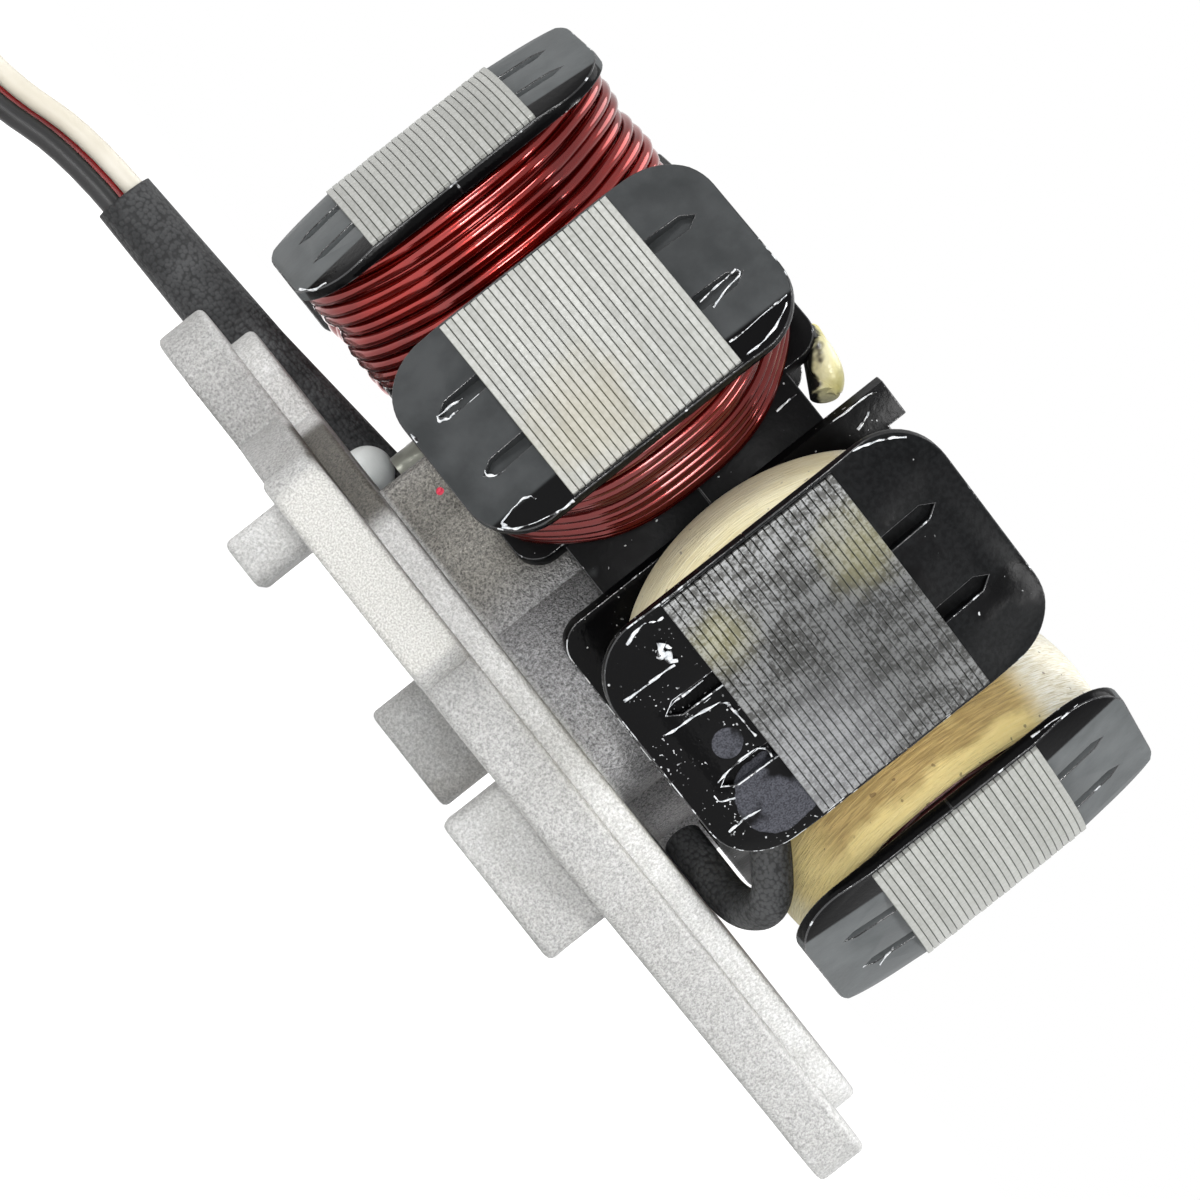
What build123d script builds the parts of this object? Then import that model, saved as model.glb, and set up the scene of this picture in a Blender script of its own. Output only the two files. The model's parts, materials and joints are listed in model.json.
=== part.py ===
from build123d import *

import os
from math import cos, pi, radians, sin, sqrt, tan

# Wound stator of a small engine's flywheel magneto, in millimetres.
# +Z is the crankshaft axis. z = 0 is the back face of the base plate, and the feet reach below it.
# A pole's own shapes are drawn for a pole that points along -Y, and then turned to its angle.

# Poles
POLE_COUNT = 8
FIRST_POLE_DEG = -68.67
IGNITION_POLES = (2, 3)

# Core
CORE_RADIUS = 38.0
PLATE_COUNT = 27
PLATE_THICKNESS = 0.58
SHOE_TIP = 0.8
CHARGING_SHOE_HALF_DEG = 13.1
IGNITION_SHOE_HALF_DEG = 15.74
POLE_WIDTH = 6.5
HUB_RADIUS = 21.5
CORE_BORE_RADIUS = 13.5

# Base casting
SHAFT_BORE_RADIUS = 13.0
FLANGE_THICKNESS = 4.4
DECK_HEIGHT = 2.1
NECK_HEIGHT = 11.1
NECK_STEP = 3.5
LOBE_RADIUS = 9.0
LOBE_OVERHANG = 0.9
NECK_FLAT_X = -16.6
PLATE_RADIUS = 27.0
DECK_INSET = 1.5
EAR_RADIUS = 6.4
LEFT_EAR_X = -30.6
RIGHT_EAR_X = 40.4
EAR_LIP = 3.8
PAD_RADIUS = 5.7
FIXING_HOLE_RADIUS = 2.75
SHOULDER_X = 15.0
SHOULDER_Y = -24.5
LUG_LEFT_X = -21.9
LUG_RIGHT_X = -2.3
LUG_NEAR_Y = -30.0
LUG_CORNER = 2.6

# Feet
FOOT_HEIGHT = 5.4
LEFT_FOOT = (-18.7, -5.0, 4.5, 11.0)
FAR_FOOT = (0.9, 17.5, 9.6, 8.0)
NEAR_FOOT = (12.8, -13.2, 13.2, 11.0)
FOOT_CORNER = 1.4
FOOT_RELIEF = 0.6

# Core screws
SCREW_INSET = 4.0
SCREW_RADIUS = 2.0
SCREW_HEAD_RADIUS = 3.4
SCREW_HEAD_HEIGHT = 2.6
SCREW_DEPTH_IN_NECK = 9.0
SCREW_CLEARANCE = 0.25
THREAD_CLEARANCE = 0.03
HEX_ACROSS_FLATS = 3.0
HEX_DEPTH = 1.6

# Insulator
WALL = 0.85
CORE_CLEARANCE = 0.08
END_COVER = 1.0
HUB_WALL_GAP = 1.3
HUB_WALL_THICKNESS = 1.4
HUB_WALL_REACH = 2.7
FLANGE_SKIN = 0.55
FLANGE_RIM = 0.35
FLANGE_STEP = 0.25
FLANGE_TAPER = 0.7
FLANGE_CREASE = 0.72
FLANGE_CORNER = 4.8
WALL_CORNER = 2.2
CHARGING_WALL_HALF = 5.6
IGNITION_WALL_SPACING = 0.64
CHARGING_REACH = 6.7
IGNITION_REACH = 7.45
CHARGING_WALL_FRONT = 6.5
CHARGING_WALL_BACK = 5.9
IGNITION_WALL_FRONT = 6.2
IGNITION_WALL_BACK = 7.6
GROOVE_WIDTH = 1.3
GROOVE_DEPTH = 1.0
GROOVE_SHARE = 0.62
GROOVE_POINT = 1.0
HOOK_WIDTH = 3.2
HOOK_RISE = 1.6

# Coils
COIL_CLEARANCE = 0.12
COIL_SIDES = 12
CHARGING_TURNS = 10
TURN_VALLEY = 0.32
CHARGING_SPACING = 1.02
CHARGING_END_REACH = 5.9
# How far each turn stands out, from the hub to the shoe: two bands of turns.
TURN_SWELL = (0.05, 0.3, 0.4, 0.35, 0.2, -0.1, 0.3, 0.45, 0.4, 0.1)
WINDING_SPACING = 1.22
WINDING_END_REACH = 4.9
WINDING_COLLAR = 0.6
WINDING_COLLAR_LENGTH = 0.9
WINDING_COLLAR_STEP = 0.1
TAPE_SIDES = 20
# How far the tape stands out from the winding, by the share of its width from the hub.
TAPE_BULGE = ((0.0, 0.5), (0.16, 1.05), (0.45, 1.45), (0.75, 1.35), (1.0, 0.75))

# Lead sleeve, in the channel of the casting
SLEEVE_SIDES = 20
SLEEVE_Y = 9.2
SLEEVE_BASE_RADIUS = 2.9
SLEEVE_MIDDLE_RADIUS = 2.85
SLEEVE_MOUTH_RADIUS = 2.5
SLEEVE_WALL = 0.4
SLEEVE_MOUTH_DEPTH = 3.0
SLEEVE_BASE = (-15.4, 6.8)
SLEEVE_MIDDLE = (-32.0, 5.35)
SLEEVE_MOUTH = (-48.3, 4.9)
CHANNEL_CLEARANCE = 0.3
CHANNEL_DROP = 1.0
CHANNEL_END = 0.1

# Loop sleeve: turns back over the deck, between the hub wall and the flange.
LOOP_RADIUS = 1.6
LOOP_SEAT = 0.05
LOOP_HUB_GAP = 3.75
LOOP_FLANGE_GAP = 2.86
# Its points, as (angle from -Y, distance towards the axis, share of the way outwards, height above its seat).
LOOP_PLACES = (
    (64.9, 6.26, 0.0, 0.0),
    (62.5, 0.0, 0.305, 0.0),
    (56.1, 0.0, 1.0, 2.2),
    (48.9, 0.0, 0.616, 5.0),
    (44.1, 0.0, 0.0, 7.0),
)

# Wire sleeve across the front of the hub wall, beside the second pole
FRONT_SLEEVE_RADIUS = 1.15
FRONT_SLEEVE_POLE = 1
# Its points, as (distance from the line halfway to the next pole, distance out from the hub, height above its seat).
FRONT_SLEEVE_PLACES = ((6.05, -1.03, 1.9), (3.94, -0.2, 1.6), (0.69, 0.23, 0.0))

# Seal
SEAL_RADIUS = 2.2
SEAL_CENTRE = (-18.9, 5.2)

# Leads
LEAD_RADIUS = 0.9
LEAD_PITCH = 1.85
COIL_TURNS = 4
COIL_INNER_TURN = 8.0
COIL_CENTRE_X = -74.8
CONNECTOR_LENGTH = 18.0
CONNECTOR_WIDTH = 7.5
CONNECTOR_TAIL = 5.2
CONNECTOR_CORNER = 0.8
LATCH_RISE = 1.2
LATCH_LENGTH = 7.0
LATCH_WIDTH = 2.0
LATCH_SETBACK = 6.3
SOCKET_WIDTH = 4.2
SOCKET_HEIGHT = 1.2
SOCKET_DEPTH = 6.0
LEAD_SEAT = 0.05
COIL_SPARE = 0.1
LEADS_RISE = 1.1
# How far along X each lead's points lie from the sleeve's mouth.
LEAD_STEPS = (3.0, -5.0, -13.3, -21.5)
# Where each lead lies in the bundle, as (across, up) from the bundle's middle, and its place in the stack.
LEADS = {
    "lead_black": ((-0.5, -1.05), 0),
    "lead_red": ((1.17, -0.1), 1),
    "lead_white": ((-0.25, 1.15), 2),
}

# Sizes that follow
# Round bodies that stand side by side meet on the lines halfway between two poles.
HALFWAY = tan(pi / POLE_COUNT)
DECK_TOP = FLANGE_THICKNESS + DECK_HEIGHT
NECK_RADIUS = HUB_RADIUS - NECK_STEP
LOBE_OFFSET = HUB_RADIUS + LOBE_OVERHANG - LOBE_RADIUS
SCREW_CIRCLE_RADIUS = HUB_RADIUS - SCREW_INSET
STACK_BACK = DECK_TOP + NECK_HEIGHT
STACK_HEIGHT = PLATE_COUNT * PLATE_THICKNESS
STACK_MIDDLE = STACK_BACK + STACK_HEIGHT / 2
STACK_FRONT = STACK_BACK + STACK_HEIGHT
POLE_STEP_DEG = 360.0 / POLE_COUNT
HUB_WALL_INNER = HUB_RADIUS + HUB_WALL_GAP
HUB_WALL_OUTER = HUB_WALL_INNER + HUB_WALL_THICKNESS
IGNITION_WALL_HALF = HUB_WALL_INNER * HALFWAY - IGNITION_WALL_SPACING
CHARGING_HALF_WIDTH = HUB_WALL_OUTER * HALFWAY - CHARGING_SPACING
WINDING_HALF_WIDTH = HUB_WALL_OUTER * HALFWAY - WINDING_SPACING
ARM_HALF = POLE_WIDTH / 2 + CORE_CLEARANCE + WALL
FLOOR_Z = -FOOT_HEIGHT
LEFT_HOLE_X = LEFT_EAR_X - EAR_RADIUS + EAR_LIP + PAD_RADIUS
RIGHT_HOLE_X = RIGHT_EAR_X + EAR_RADIUS - EAR_LIP - PAD_RADIUS
LEAD_COIL_Y = SLEEVE_Y - COIL_INNER_TURN
LEAD_COIL_HEIGHT = 2 * LEAD_RADIUS + 2 * LEAD_PITCH
COIL_OUTER_TURN = COIL_INNER_TURN + COIL_TURNS * LEAD_PITCH
LEADS_OVER_COIL_Z = FLOOR_Z + LEAD_COIL_HEIGHT + LEAD_RADIUS + LEADS_RISE
# Cuts that go right through reach this far.
BEYOND = 60.0


def pole_angle(index):
    """The angle of a pole from -Y, in degrees."""
    return FIRST_POLE_DEG + index * POLE_STEP_DEG


def at_pole(shape, index):
    """A shape that was drawn for the pole along -Y, turned to a pole's place."""
    return Rot(0, 0, pole_angle(index)) * shape


def is_ignition(index):
    return index in IGNITION_POLES


def shoe_half_deg(index):
    return IGNITION_SHOE_HALF_DEG if is_ignition(index) else CHARGING_SHOE_HALF_DEG


def shoe_half_width(index):
    return CORE_RADIUS * sin(radians(shoe_half_deg(index)))


def shoe_inner(index):
    """The distance of the shoe's flat inner face from the axis, along the pole."""
    return CORE_RADIUS * cos(radians(shoe_half_deg(index))) - SHOE_TIP


def flange_half_width(index):
    """Half the width of the insulator's flange, which shows as a rim beside the shoe."""
    return shoe_half_width(index) + FLANGE_RIM


def flange_inner(index):
    """The distance of the flange's flat inner face from the axis, along the pole."""
    return shoe_inner(index) - CORE_CLEARANCE - FLANGE_SKIN


def block(x_low, x_high, y_low, y_high, z_low, z_high):
    size = (x_high - x_low, y_high - y_low, z_high - z_low)
    return Pos((x_low + x_high) / 2, (y_low + y_high) / 2, (z_low + z_high) / 2) * Box(*size)


def tube(radius, z_low, z_high):
    return Pos(0, 0, (z_low + z_high) / 2) * Cylinder(radius, z_high - z_low)


def ring(inner, outer, z_low, z_high):
    return tube(outer, z_low, z_high) - tube(inner, z_low - 1, z_high + 1)


# Core


def shoe_face(index):
    """A pole's shoe: round outside, flat inside, and thinnest at its two tips."""
    half, inner = shoe_half_width(index), shoe_inner(index)
    tip = inner + SHOE_TIP
    arc = ThreePointArc((half, -tip), (0, -CORE_RADIUS), (-half, -tip))
    rest = Polyline((-half, -tip), (-half, -inner), (half, -inner), (half, -tip))
    return make_face([arc, rest])


def make_core():
    outline = Circle(HUB_RADIUS)
    for index in range(POLE_COUNT):
        length = shoe_inner(index) + SHOE_TIP
        neck = Pos(0, -length / 2) * Rectangle(POLE_WIDTH, length)
        outline += Rot(0, 0, pole_angle(index)) * (neck + shoe_face(index))
    outline -= Circle(CORE_BORE_RADIUS)
    core = Pos(0, 0, STACK_BACK) * extrude(outline, STACK_HEIGHT)
    for x, y in screw_places():
        core -= Pos(x, y, 0) * tube(SCREW_RADIUS + SCREW_CLEARANCE, STACK_BACK - 1, STACK_FRONT + 1)
    return core


def screw_places():
    """The screws sit on the lines of every second pole, in the lobes of the neck."""
    places = []
    for index in range(0, POLE_COUNT, 2):
        angle = radians(pole_angle(index))
        places.append((SCREW_CIRCLE_RADIUS * sin(angle), -SCREW_CIRCLE_RADIUS * cos(angle)))
    return places


# Insulator halves


def flange_outline(half, z_low, z_high, corner, at_top):
    """A plate seen along the pole: square at the core's middle, with two round corners at its free end."""
    plate = Pos(0, (z_low + z_high) / 2) * Rectangle(2 * half, z_high - z_low)
    edge = plate.vertices().group_by(Axis.Y)[-1 if at_top else 0]
    return fillet(edge, corner)


def pole_plate(outline, near, far):
    """An outline in (across the pole, z), as a solid between two distances from the axis."""
    plane = Plane(origin=(0, -near, 0), x_dir=(1, 0, 0), z_dir=(0, -1, 0))
    return extrude(plane * outline, far - near)


def below_shoe(across):
    """How far from the axis the flange's face lies, just below the core's round face."""
    return sqrt(CORE_RADIUS**2 - across**2) - FLANGE_STEP


def flange_section(index, z, lowered):
    """The flange's section across the pole: flat inside, and a middle and two sloping sides outside."""
    half, inner = flange_half_width(index), flange_inner(index)
    crease = FLANGE_CREASE * half
    side, middle = below_shoe(half) - lowered, below_shoe(crease) - lowered
    points = ((-half, -side), (-half, -inner), (half, -inner), (half, -side), (crease, -middle), (-crease, -middle))
    return Pos(0, 0, z) * make_face(Polyline(*points, close=True))


def groove(index, across, z_end, z_tip):
    """A slot in the flange's face, from the shoe's edge to a point short of the tip."""
    end = z_end + GROOVE_SHARE * (z_tip - z_end)
    shoulder = end - GROOVE_POINT if end > z_end else end + GROOVE_POINT
    low, high = across - GROOVE_WIDTH / 2, across + GROOVE_WIDTH / 2
    outline = Polyline((low, z_end), (high, z_end), (high, shoulder), (across, end), (low, shoulder), close=True)
    floor = below_shoe(FLANGE_CREASE * flange_half_width(index)) - GROOVE_DEPTH
    return pole_plate(make_face(outline), floor, CORE_RADIUS)


def pole_insulator(index, way):
    """Half of one pole's insulator: flange, sleeve round the pole, and wall at the hub."""
    ignition = is_ignition(index)
    front = way > 0
    z_end = STACK_FRONT if front else STACK_BACK
    if front:
        wall_reach = IGNITION_WALL_FRONT if ignition else CHARGING_WALL_FRONT
    else:
        wall_reach = IGNITION_WALL_BACK if ignition else CHARGING_WALL_BACK
    z_tip = z_end + way * (IGNITION_REACH if ignition else CHARGING_REACH)
    half = flange_half_width(index)

    low, high = sorted((STACK_MIDDLE, z_tip))
    outline = flange_outline(half, low, high, FLANGE_CORNER, front)
    shell = extrude(flange_section(index, z_end, 0), -way * STACK_HEIGHT / 2)
    shell += loft([flange_section(index, z_end, 0), flange_section(index, z_tip, FLANGE_TAPER)], ruled=True)
    piece = pole_plate(outline, HUB_WALL_OUTER, CORE_RADIUS + 1) & shell
    for side in (-1, 1):
        piece -= groove(index, side * half / 3, z_end, z_tip)
    shoe = shoe_half_width(index) + CORE_CLEARANCE
    under = shoe_inner(index) - CORE_CLEARANCE
    low, high = sorted((STACK_MIDDLE - way, z_end))
    piece -= block(-shoe, shoe, -BEYOND, -under, low, high)

    low, high = sorted((STACK_MIDDLE, z_end + way * END_COVER))
    middle = (HUB_WALL_INNER + HUB_WALL_OUTER) / 2
    piece += block(-ARM_HALF, ARM_HALF, -under, -middle, low, high)

    wall_half = IGNITION_WALL_HALF if ignition else CHARGING_WALL_HALF
    low, high = sorted((STACK_MIDDLE, z_end + way * wall_reach))
    wall = flange_outline(wall_half, low, high, WALL_CORNER, front)
    piece += pole_plate(wall, HUB_WALL_INNER, HUB_WALL_OUTER)
    if ignition and front:
        hook = (-wall_half, HOOK_WIDTH - wall_half)
        piece += block(*hook, -HUB_WALL_OUTER, -HUB_WALL_INNER, z_end, high + HOOK_RISE)

    gap = POLE_WIDTH / 2 + CORE_CLEARANCE
    low, high = sorted((STACK_MIDDLE - way, z_end))
    piece -= block(-gap, gap, -CORE_RADIUS, -HUB_RADIUS + 2, low, high)
    return piece


def make_insulator(way):
    front = way > 0
    z_end = STACK_FRONT if front else STACK_BACK
    low, high = sorted((STACK_MIDDLE, z_end + way * HUB_WALL_REACH))
    body = ring(HUB_RADIUS + CORE_CLEARANCE, HUB_WALL_OUTER, low, high)
    body -= ring(HUB_RADIUS, HUB_WALL_INNER, *sorted((z_end, z_end + way * (HUB_WALL_REACH + 1))))
    if front:
        body += ring(CORE_BORE_RADIUS, HUB_WALL_INNER + 0.3, z_end, z_end + END_COVER)
    gap = POLE_WIDTH / 2 + CORE_CLEARANCE
    for index in range(POLE_COUNT):
        low, high = sorted((STACK_MIDDLE - way, z_end))
        body -= at_pole(block(-gap, gap, -CORE_RADIUS, -HUB_RADIUS + 2, low, high), index)
    for index in range(POLE_COUNT):
        body += at_pole(pole_insulator(index, way), index)
    if front:
        for x, y in screw_places():
            body -= Pos(x, y, 0) * tube(SCREW_HEAD_RADIUS + SCREW_CLEARANCE, z_end - 1, z_end + 3)
    return body


# Coils


def oval(half_width, half_length, distance, sides):
    """A many-sided oval round a pole, at a distance from the axis."""
    points = []
    for k in range(sides):
        angle = 2 * pi * (k + 0.5) / sides
        points.append((half_width * cos(angle), half_length * sin(angle)))
    plane = Plane(origin=(0, -distance, STACK_MIDDLE), x_dir=(1, 0, 0), z_dir=(0, -1, 0))
    return make_face(plane * Polyline(*points, close=True))


def pole_hole():
    """What a coil leaves free for the pole and the insulator round it."""
    half = ARM_HALF + COIL_CLEARANCE
    long = STACK_HEIGHT / 2 + END_COVER + COIL_CLEARANCE
    return block(-half, half, -CORE_RADIUS, -HUB_RADIUS, STACK_MIDDLE - long, STACK_MIDDLE + long)


def coil_space(index):
    """The nearest and furthest distance of a pole's coil from the axis, between hub wall and flange."""
    return HUB_WALL_OUTER + COIL_CLEARANCE, flange_inner(index) - COIL_CLEARANCE


def make_charging_coil(index):
    """One layer of round wire shows as ridges, in two bands along the pole."""
    near, far = coil_space(index)
    pitch = (far - near) / CHARGING_TURNS
    length = STACK_HEIGHT / 2 + CHARGING_END_REACH
    sections = []
    for turn, swell in enumerate(TURN_SWELL):
        half, end = CHARGING_HALF_WIDTH + swell, length + swell
        valley = near + turn * pitch
        sections.append(oval(half - TURN_VALLEY, end - TURN_VALLEY, valley, COIL_SIDES))
        sections.append(oval(half, end, valley + pitch / 2, COIL_SIDES))
    last = TURN_SWELL[-1] - TURN_VALLEY
    sections.append(oval(CHARGING_HALF_WIDTH + last, length + last, far, COIL_SIDES))
    return loft(sections, ruled=True) - pole_hole()


def winding_body(index):
    near, far = coil_space(index)
    length = STACK_HEIGHT / 2 + WINDING_END_REACH
    collar = far - WINDING_COLLAR_LENGTH
    steps = (
        (near, 0.0),
        (collar, 0.0),
        (collar + WINDING_COLLAR_STEP, WINDING_COLLAR),
        (far, WINDING_COLLAR),
    )
    sections = [oval(WINDING_HALF_WIDTH, length + out, place, TAPE_SIDES) for place, out in steps]
    return loft(sections, ruled=True)


def make_ignition_winding(index):
    return winding_body(index) - pole_hole()


def make_tape_wrap(index):
    """Cloth tape round the winding, fullest at the middle of its width."""
    near, far = coil_space(index)
    last = far - WINDING_COLLAR_LENGTH
    length = STACK_HEIGHT / 2 + WINDING_END_REACH
    sections = [
        oval(WINDING_HALF_WIDTH + out, length + out, near + share * (last - near), TAPE_SIDES)
        for share, out in TAPE_BULGE
    ]
    return loft(sections, ruled=True) - winding_body(index)


# Base casting


def plate_outline(radius, ear_tip_inset, ear_radius):
    """Disc, two fixing ears on the X axis and the shoulder that runs to the right ear."""
    left = LEFT_EAR_X - EAR_RADIUS + ear_tip_inset + ear_radius
    right = RIGHT_EAR_X + EAR_RADIUS - ear_tip_inset - ear_radius
    outline = Circle(radius)
    outline += Pos(left / 2, 0) * Rectangle(-left, 2 * ear_radius)
    outline += Pos(right / 2, 0) * Rectangle(right, 2 * ear_radius)
    outline += Pos(left, 0) * Circle(ear_radius)
    outline += Pos(right, 0) * Circle(ear_radius)
    inset = PLATE_RADIUS - radius
    shoulder = Polyline(
        (0, 0),
        (0, -radius),
        (SHOULDER_X, SHOULDER_Y + inset),
        (right, -ear_radius),
        (right, 0),
        close=True,
    )
    return outline + make_face(shoulder)


def neck_outline():
    outline = Circle(NECK_RADIUS)
    for index in range(0, POLE_COUNT, 2):
        outline += Rot(0, 0, pole_angle(index)) * Pos(0, -LOBE_OFFSET) * Circle(LOBE_RADIUS)
    return outline


def make_casting():
    flange = extrude(plate_outline(PLATE_RADIUS, 0, EAR_RADIUS), FLANGE_THICKNESS)
    lug = Rectangle(LUG_RIGHT_X - LUG_LEFT_X, -LUG_NEAR_Y - EAR_RADIUS)
    lug = fillet(lug.vertices().group_by(Axis.Y)[0], LUG_CORNER)
    lug = Pos((LUG_LEFT_X + LUG_RIGHT_X) / 2, (LUG_NEAR_Y - EAR_RADIUS) / 2) * lug
    body = flange + extrude(lug, FLANGE_THICKNESS)
    deck = extrude(plate_outline(PLATE_RADIUS - DECK_INSET, EAR_LIP, PAD_RADIUS), DECK_HEIGHT)
    body += Pos(0, 0, FLANGE_THICKNESS) * deck

    neck = Pos(0, 0, DECK_TOP) * extrude(neck_outline(), NECK_HEIGHT)
    neck -= block(-BEYOND, NECK_FLAT_X, -BEYOND, BEYOND, DECK_TOP, STACK_BACK + 1)
    body += neck

    for x, y, long, wide in (LEFT_FOOT, FAR_FOOT, NEAR_FOOT):
        foot = RectangleRounded(long, wide, FOOT_CORNER)
        body += Pos(x, y, FLOOR_Z) * extrude(foot, FOOT_HEIGHT)

    body -= tube(SHAFT_BORE_RADIUS, -1, STACK_BACK + 1)
    body -= tube(SHAFT_BORE_RADIUS + FOOT_RELIEF, FLOOR_Z - 1, 0)
    for x in (LEFT_HOLE_X, RIGHT_HOLE_X):
        body -= Pos(x, 0, 0) * tube(FIXING_HOLE_RADIUS, -1, DECK_TOP + 1)
    for x, y in screw_places():
        depth = STACK_BACK - SCREW_DEPTH_IN_NECK - 1
        body -= Pos(x, y, 0) * tube(SCREW_RADIUS + THREAD_CLEARANCE, depth, STACK_BACK + 1)

    half = SLEEVE_BASE_RADIUS + CHANNEL_CLEARANCE
    floor = SLEEVE_BASE[1] - SLEEVE_BASE_RADIUS - CHANNEL_CLEARANCE - CHANNEL_DROP
    end = SLEEVE_BASE[0] + CHANNEL_END
    return body - block(-BEYOND, end, SLEEVE_Y - half, SLEEVE_Y + half, floor, STACK_BACK + 1)


# Screws


def make_core_screws():
    screws = []
    for x, y in screw_places():
        shank = tube(SCREW_RADIUS, STACK_BACK - SCREW_DEPTH_IN_NECK, STACK_FRONT)
        head = tube(SCREW_HEAD_RADIUS, STACK_FRONT, STACK_FRONT + SCREW_HEAD_HEIGHT)
        socket = RegularPolygon(HEX_ACROSS_FLATS / 2, 6, major_radius=False)
        top = STACK_FRONT + SCREW_HEAD_HEIGHT
        drive = Pos(0, 0, top - HEX_DEPTH) * extrude(socket, HEX_DEPTH + 1)
        screws.append(Pos(x, y, 0) * (shank + head - drive))
    return Compound(children=screws)


# Sleeves and seal


def sleeve_section(place, radius):
    x, z = place
    plane = Plane(origin=(x, SLEEVE_Y, z), x_dir=(0, 1, 0), z_dir=(-1, 0, 0))
    return plane * RegularPolygon(radius, SLEEVE_SIDES)


def sleeve_body():
    sections = [
        sleeve_section(SLEEVE_BASE, SLEEVE_BASE_RADIUS),
        sleeve_section(SLEEVE_MIDDLE, SLEEVE_MIDDLE_RADIUS),
        sleeve_section(SLEEVE_MOUTH, SLEEVE_MOUTH_RADIUS),
    ]
    return loft(sections, ruled=True)


def make_lead_sleeve():
    x, z = SLEEVE_MOUTH
    plane = Plane(origin=(x + SLEEVE_MOUTH_DEPTH, SLEEVE_Y, z), x_dir=(0, 1, 0), z_dir=(-1, 0, 0))
    return sleeve_body() - extrude(plane * Circle(SLEEVE_MOUTH_RADIUS - SLEEVE_WALL), SLEEVE_MOUTH_DEPTH + 1)


def make_lead_seal(casting):
    x, y = SEAL_CENTRE
    lump = Pos(x, y, DECK_TOP) * Sphere(SEAL_RADIUS)
    left = lump - casting - sleeve_body()
    return left.solids().sort_by(SortBy.VOLUME)[-1]


def bend_radius(before, corner, after):
    """The largest arc that the runs on both sides of a corner leave room for."""
    run_in, run_out = corner - before, after - corner
    turn = run_in.get_angle(run_out)
    return 0.45 * min(run_in.length, run_out.length) / tan(radians(turn / 2))


def cord_path(name, places):
    points = [Vector(*place) for place in places]
    radii = [bend_radius(*points[k - 1:k + 2]) for k in range(1, len(points) - 1)]
    print(name, "radii", [round(radius, 1) for radius in radii])
    return FilletPolyline(*points, radius=radii)


def cord_solid(path, radius):
    """A round cord along a path."""
    start = Plane(origin=path @ 0, z_dir=path % 0)
    return sweep(start * Circle(radius), path=path)


def make_loop_sleeve():
    low = DECK_TOP + LOOP_RADIUS + LOOP_SEAT
    inner = HUB_RADIUS / cos(pi / POLE_COUNT) + LOOP_HUB_GAP
    outer = flange_inner(IGNITION_POLES[-1]) - LOOP_FLANGE_GAP
    places = []
    for degrees, back, share, rise in LOOP_PLACES:
        radius = inner - back + share * (outer - inner)
        angle = radians(degrees)
        places.append((radius * sin(angle), -radius * cos(angle), low + rise))
    return cord_solid(cord_path("loop_sleeve", places), LOOP_RADIUS)


def make_front_wire_sleeve():
    seat = STACK_FRONT + HUB_WALL_REACH + FRONT_SLEEVE_RADIUS + LOOP_SEAT
    halfway = HUB_RADIUS * HALFWAY
    places = [(halfway - back, -HUB_RADIUS - out, seat + rise) for back, out, rise in FRONT_SLEEVE_PLACES]
    sleeve = cord_solid(cord_path("front_wire_sleeve", places), FRONT_SLEEVE_RADIUS)
    return at_pole(sleeve, FRONT_SLEEVE_POLE)


# Leads


def lead_places(offset):
    """The run of one lead from inside the sleeve's mouth down to the top of its coil."""
    across, up = offset
    x, z = SLEEVE_MOUTH
    levels = (z, z, LEADS_OVER_COIL_Z, LEADS_OVER_COIL_Z)
    return [(x + step, SLEEVE_Y + across, level + up) for step, level in zip(LEAD_STEPS, levels)]


def lead_level(place_in_stack):
    return FLOOR_Z + LEAD_RADIUS + place_in_stack * LEAD_PITCH


def make_lead(name):
    offset, place_in_stack = LEADS[name]
    path = cord_path(name, lead_places(offset))
    out = cord_solid(path, LEAD_RADIUS)
    straight = pi * LEAD_RADIUS**2 * path.length
    print(name, "volume over section times length", round(out.volume / straight, 4))
    start, end = tail_span()
    y = LEAD_COIL_Y + COIL_OUTER_TURN
    plane = Plane(origin=(start, y, lead_level(place_in_stack)), x_dir=(0, 1, 0), z_dir=(-1, 0, 0))
    return Compound(children=[out, extrude(plane * Circle(LEAD_RADIUS), start - end)])


def coil_edge_radius():
    return COIL_OUTER_TURN + LEAD_RADIUS + COIL_SPARE


def tail_span():
    """Where the leads leave the coil, and where they meet the connector, along X."""
    edge = sqrt(coil_edge_radius() ** 2 - (COIL_OUTER_TURN - LEAD_RADIUS) ** 2)
    start = COIL_CENTRE_X - edge - LEAD_SEAT
    return start, start - CONNECTOR_TAIL


def make_lead_coil():
    inner = COIL_INNER_TURN - LEAD_RADIUS - COIL_SPARE
    body = ring(inner, coil_edge_radius(), FLOOR_Z, FLOOR_Z + LEAD_COIL_HEIGHT)
    return Pos(COIL_CENTRE_X, LEAD_COIL_Y, 0) * body


def make_connector():
    """A plain housing with a latch on its side, and a socket in its end for each lead."""
    end = tail_span()[1]
    y = LEAD_COIL_Y + COIL_OUTER_TURN
    middle = FLOOR_Z + LEAD_COIL_HEIGHT / 2
    plane = Plane(origin=(end, y, middle), x_dir=(0, 1, 0), z_dir=(-1, 0, 0))
    shape = RectangleRounded(CONNECTOR_WIDTH, LEAD_COIL_HEIGHT, CONNECTOR_CORNER)
    body = extrude(plane * shape, CONNECTOR_LENGTH)
    latch_x = end - LATCH_SETBACK - LATCH_LENGTH / 2
    rise = CONNECTOR_WIDTH / 2 + LATCH_RISE
    body += Pos(latch_x, y + rise / 2, middle) * Box(LATCH_LENGTH, rise, LATCH_WIDTH)
    for place in range(len(LEADS)):
        socket = Plane(
            origin=(end - CONNECTOR_LENGTH, y, lead_level(place)), x_dir=(0, 1, 0), z_dir=(1, 0, 0)
        )
        body -= extrude(socket * Rectangle(SOCKET_WIDTH, SOCKET_HEIGHT), SOCKET_DEPTH)
    return body


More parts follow.
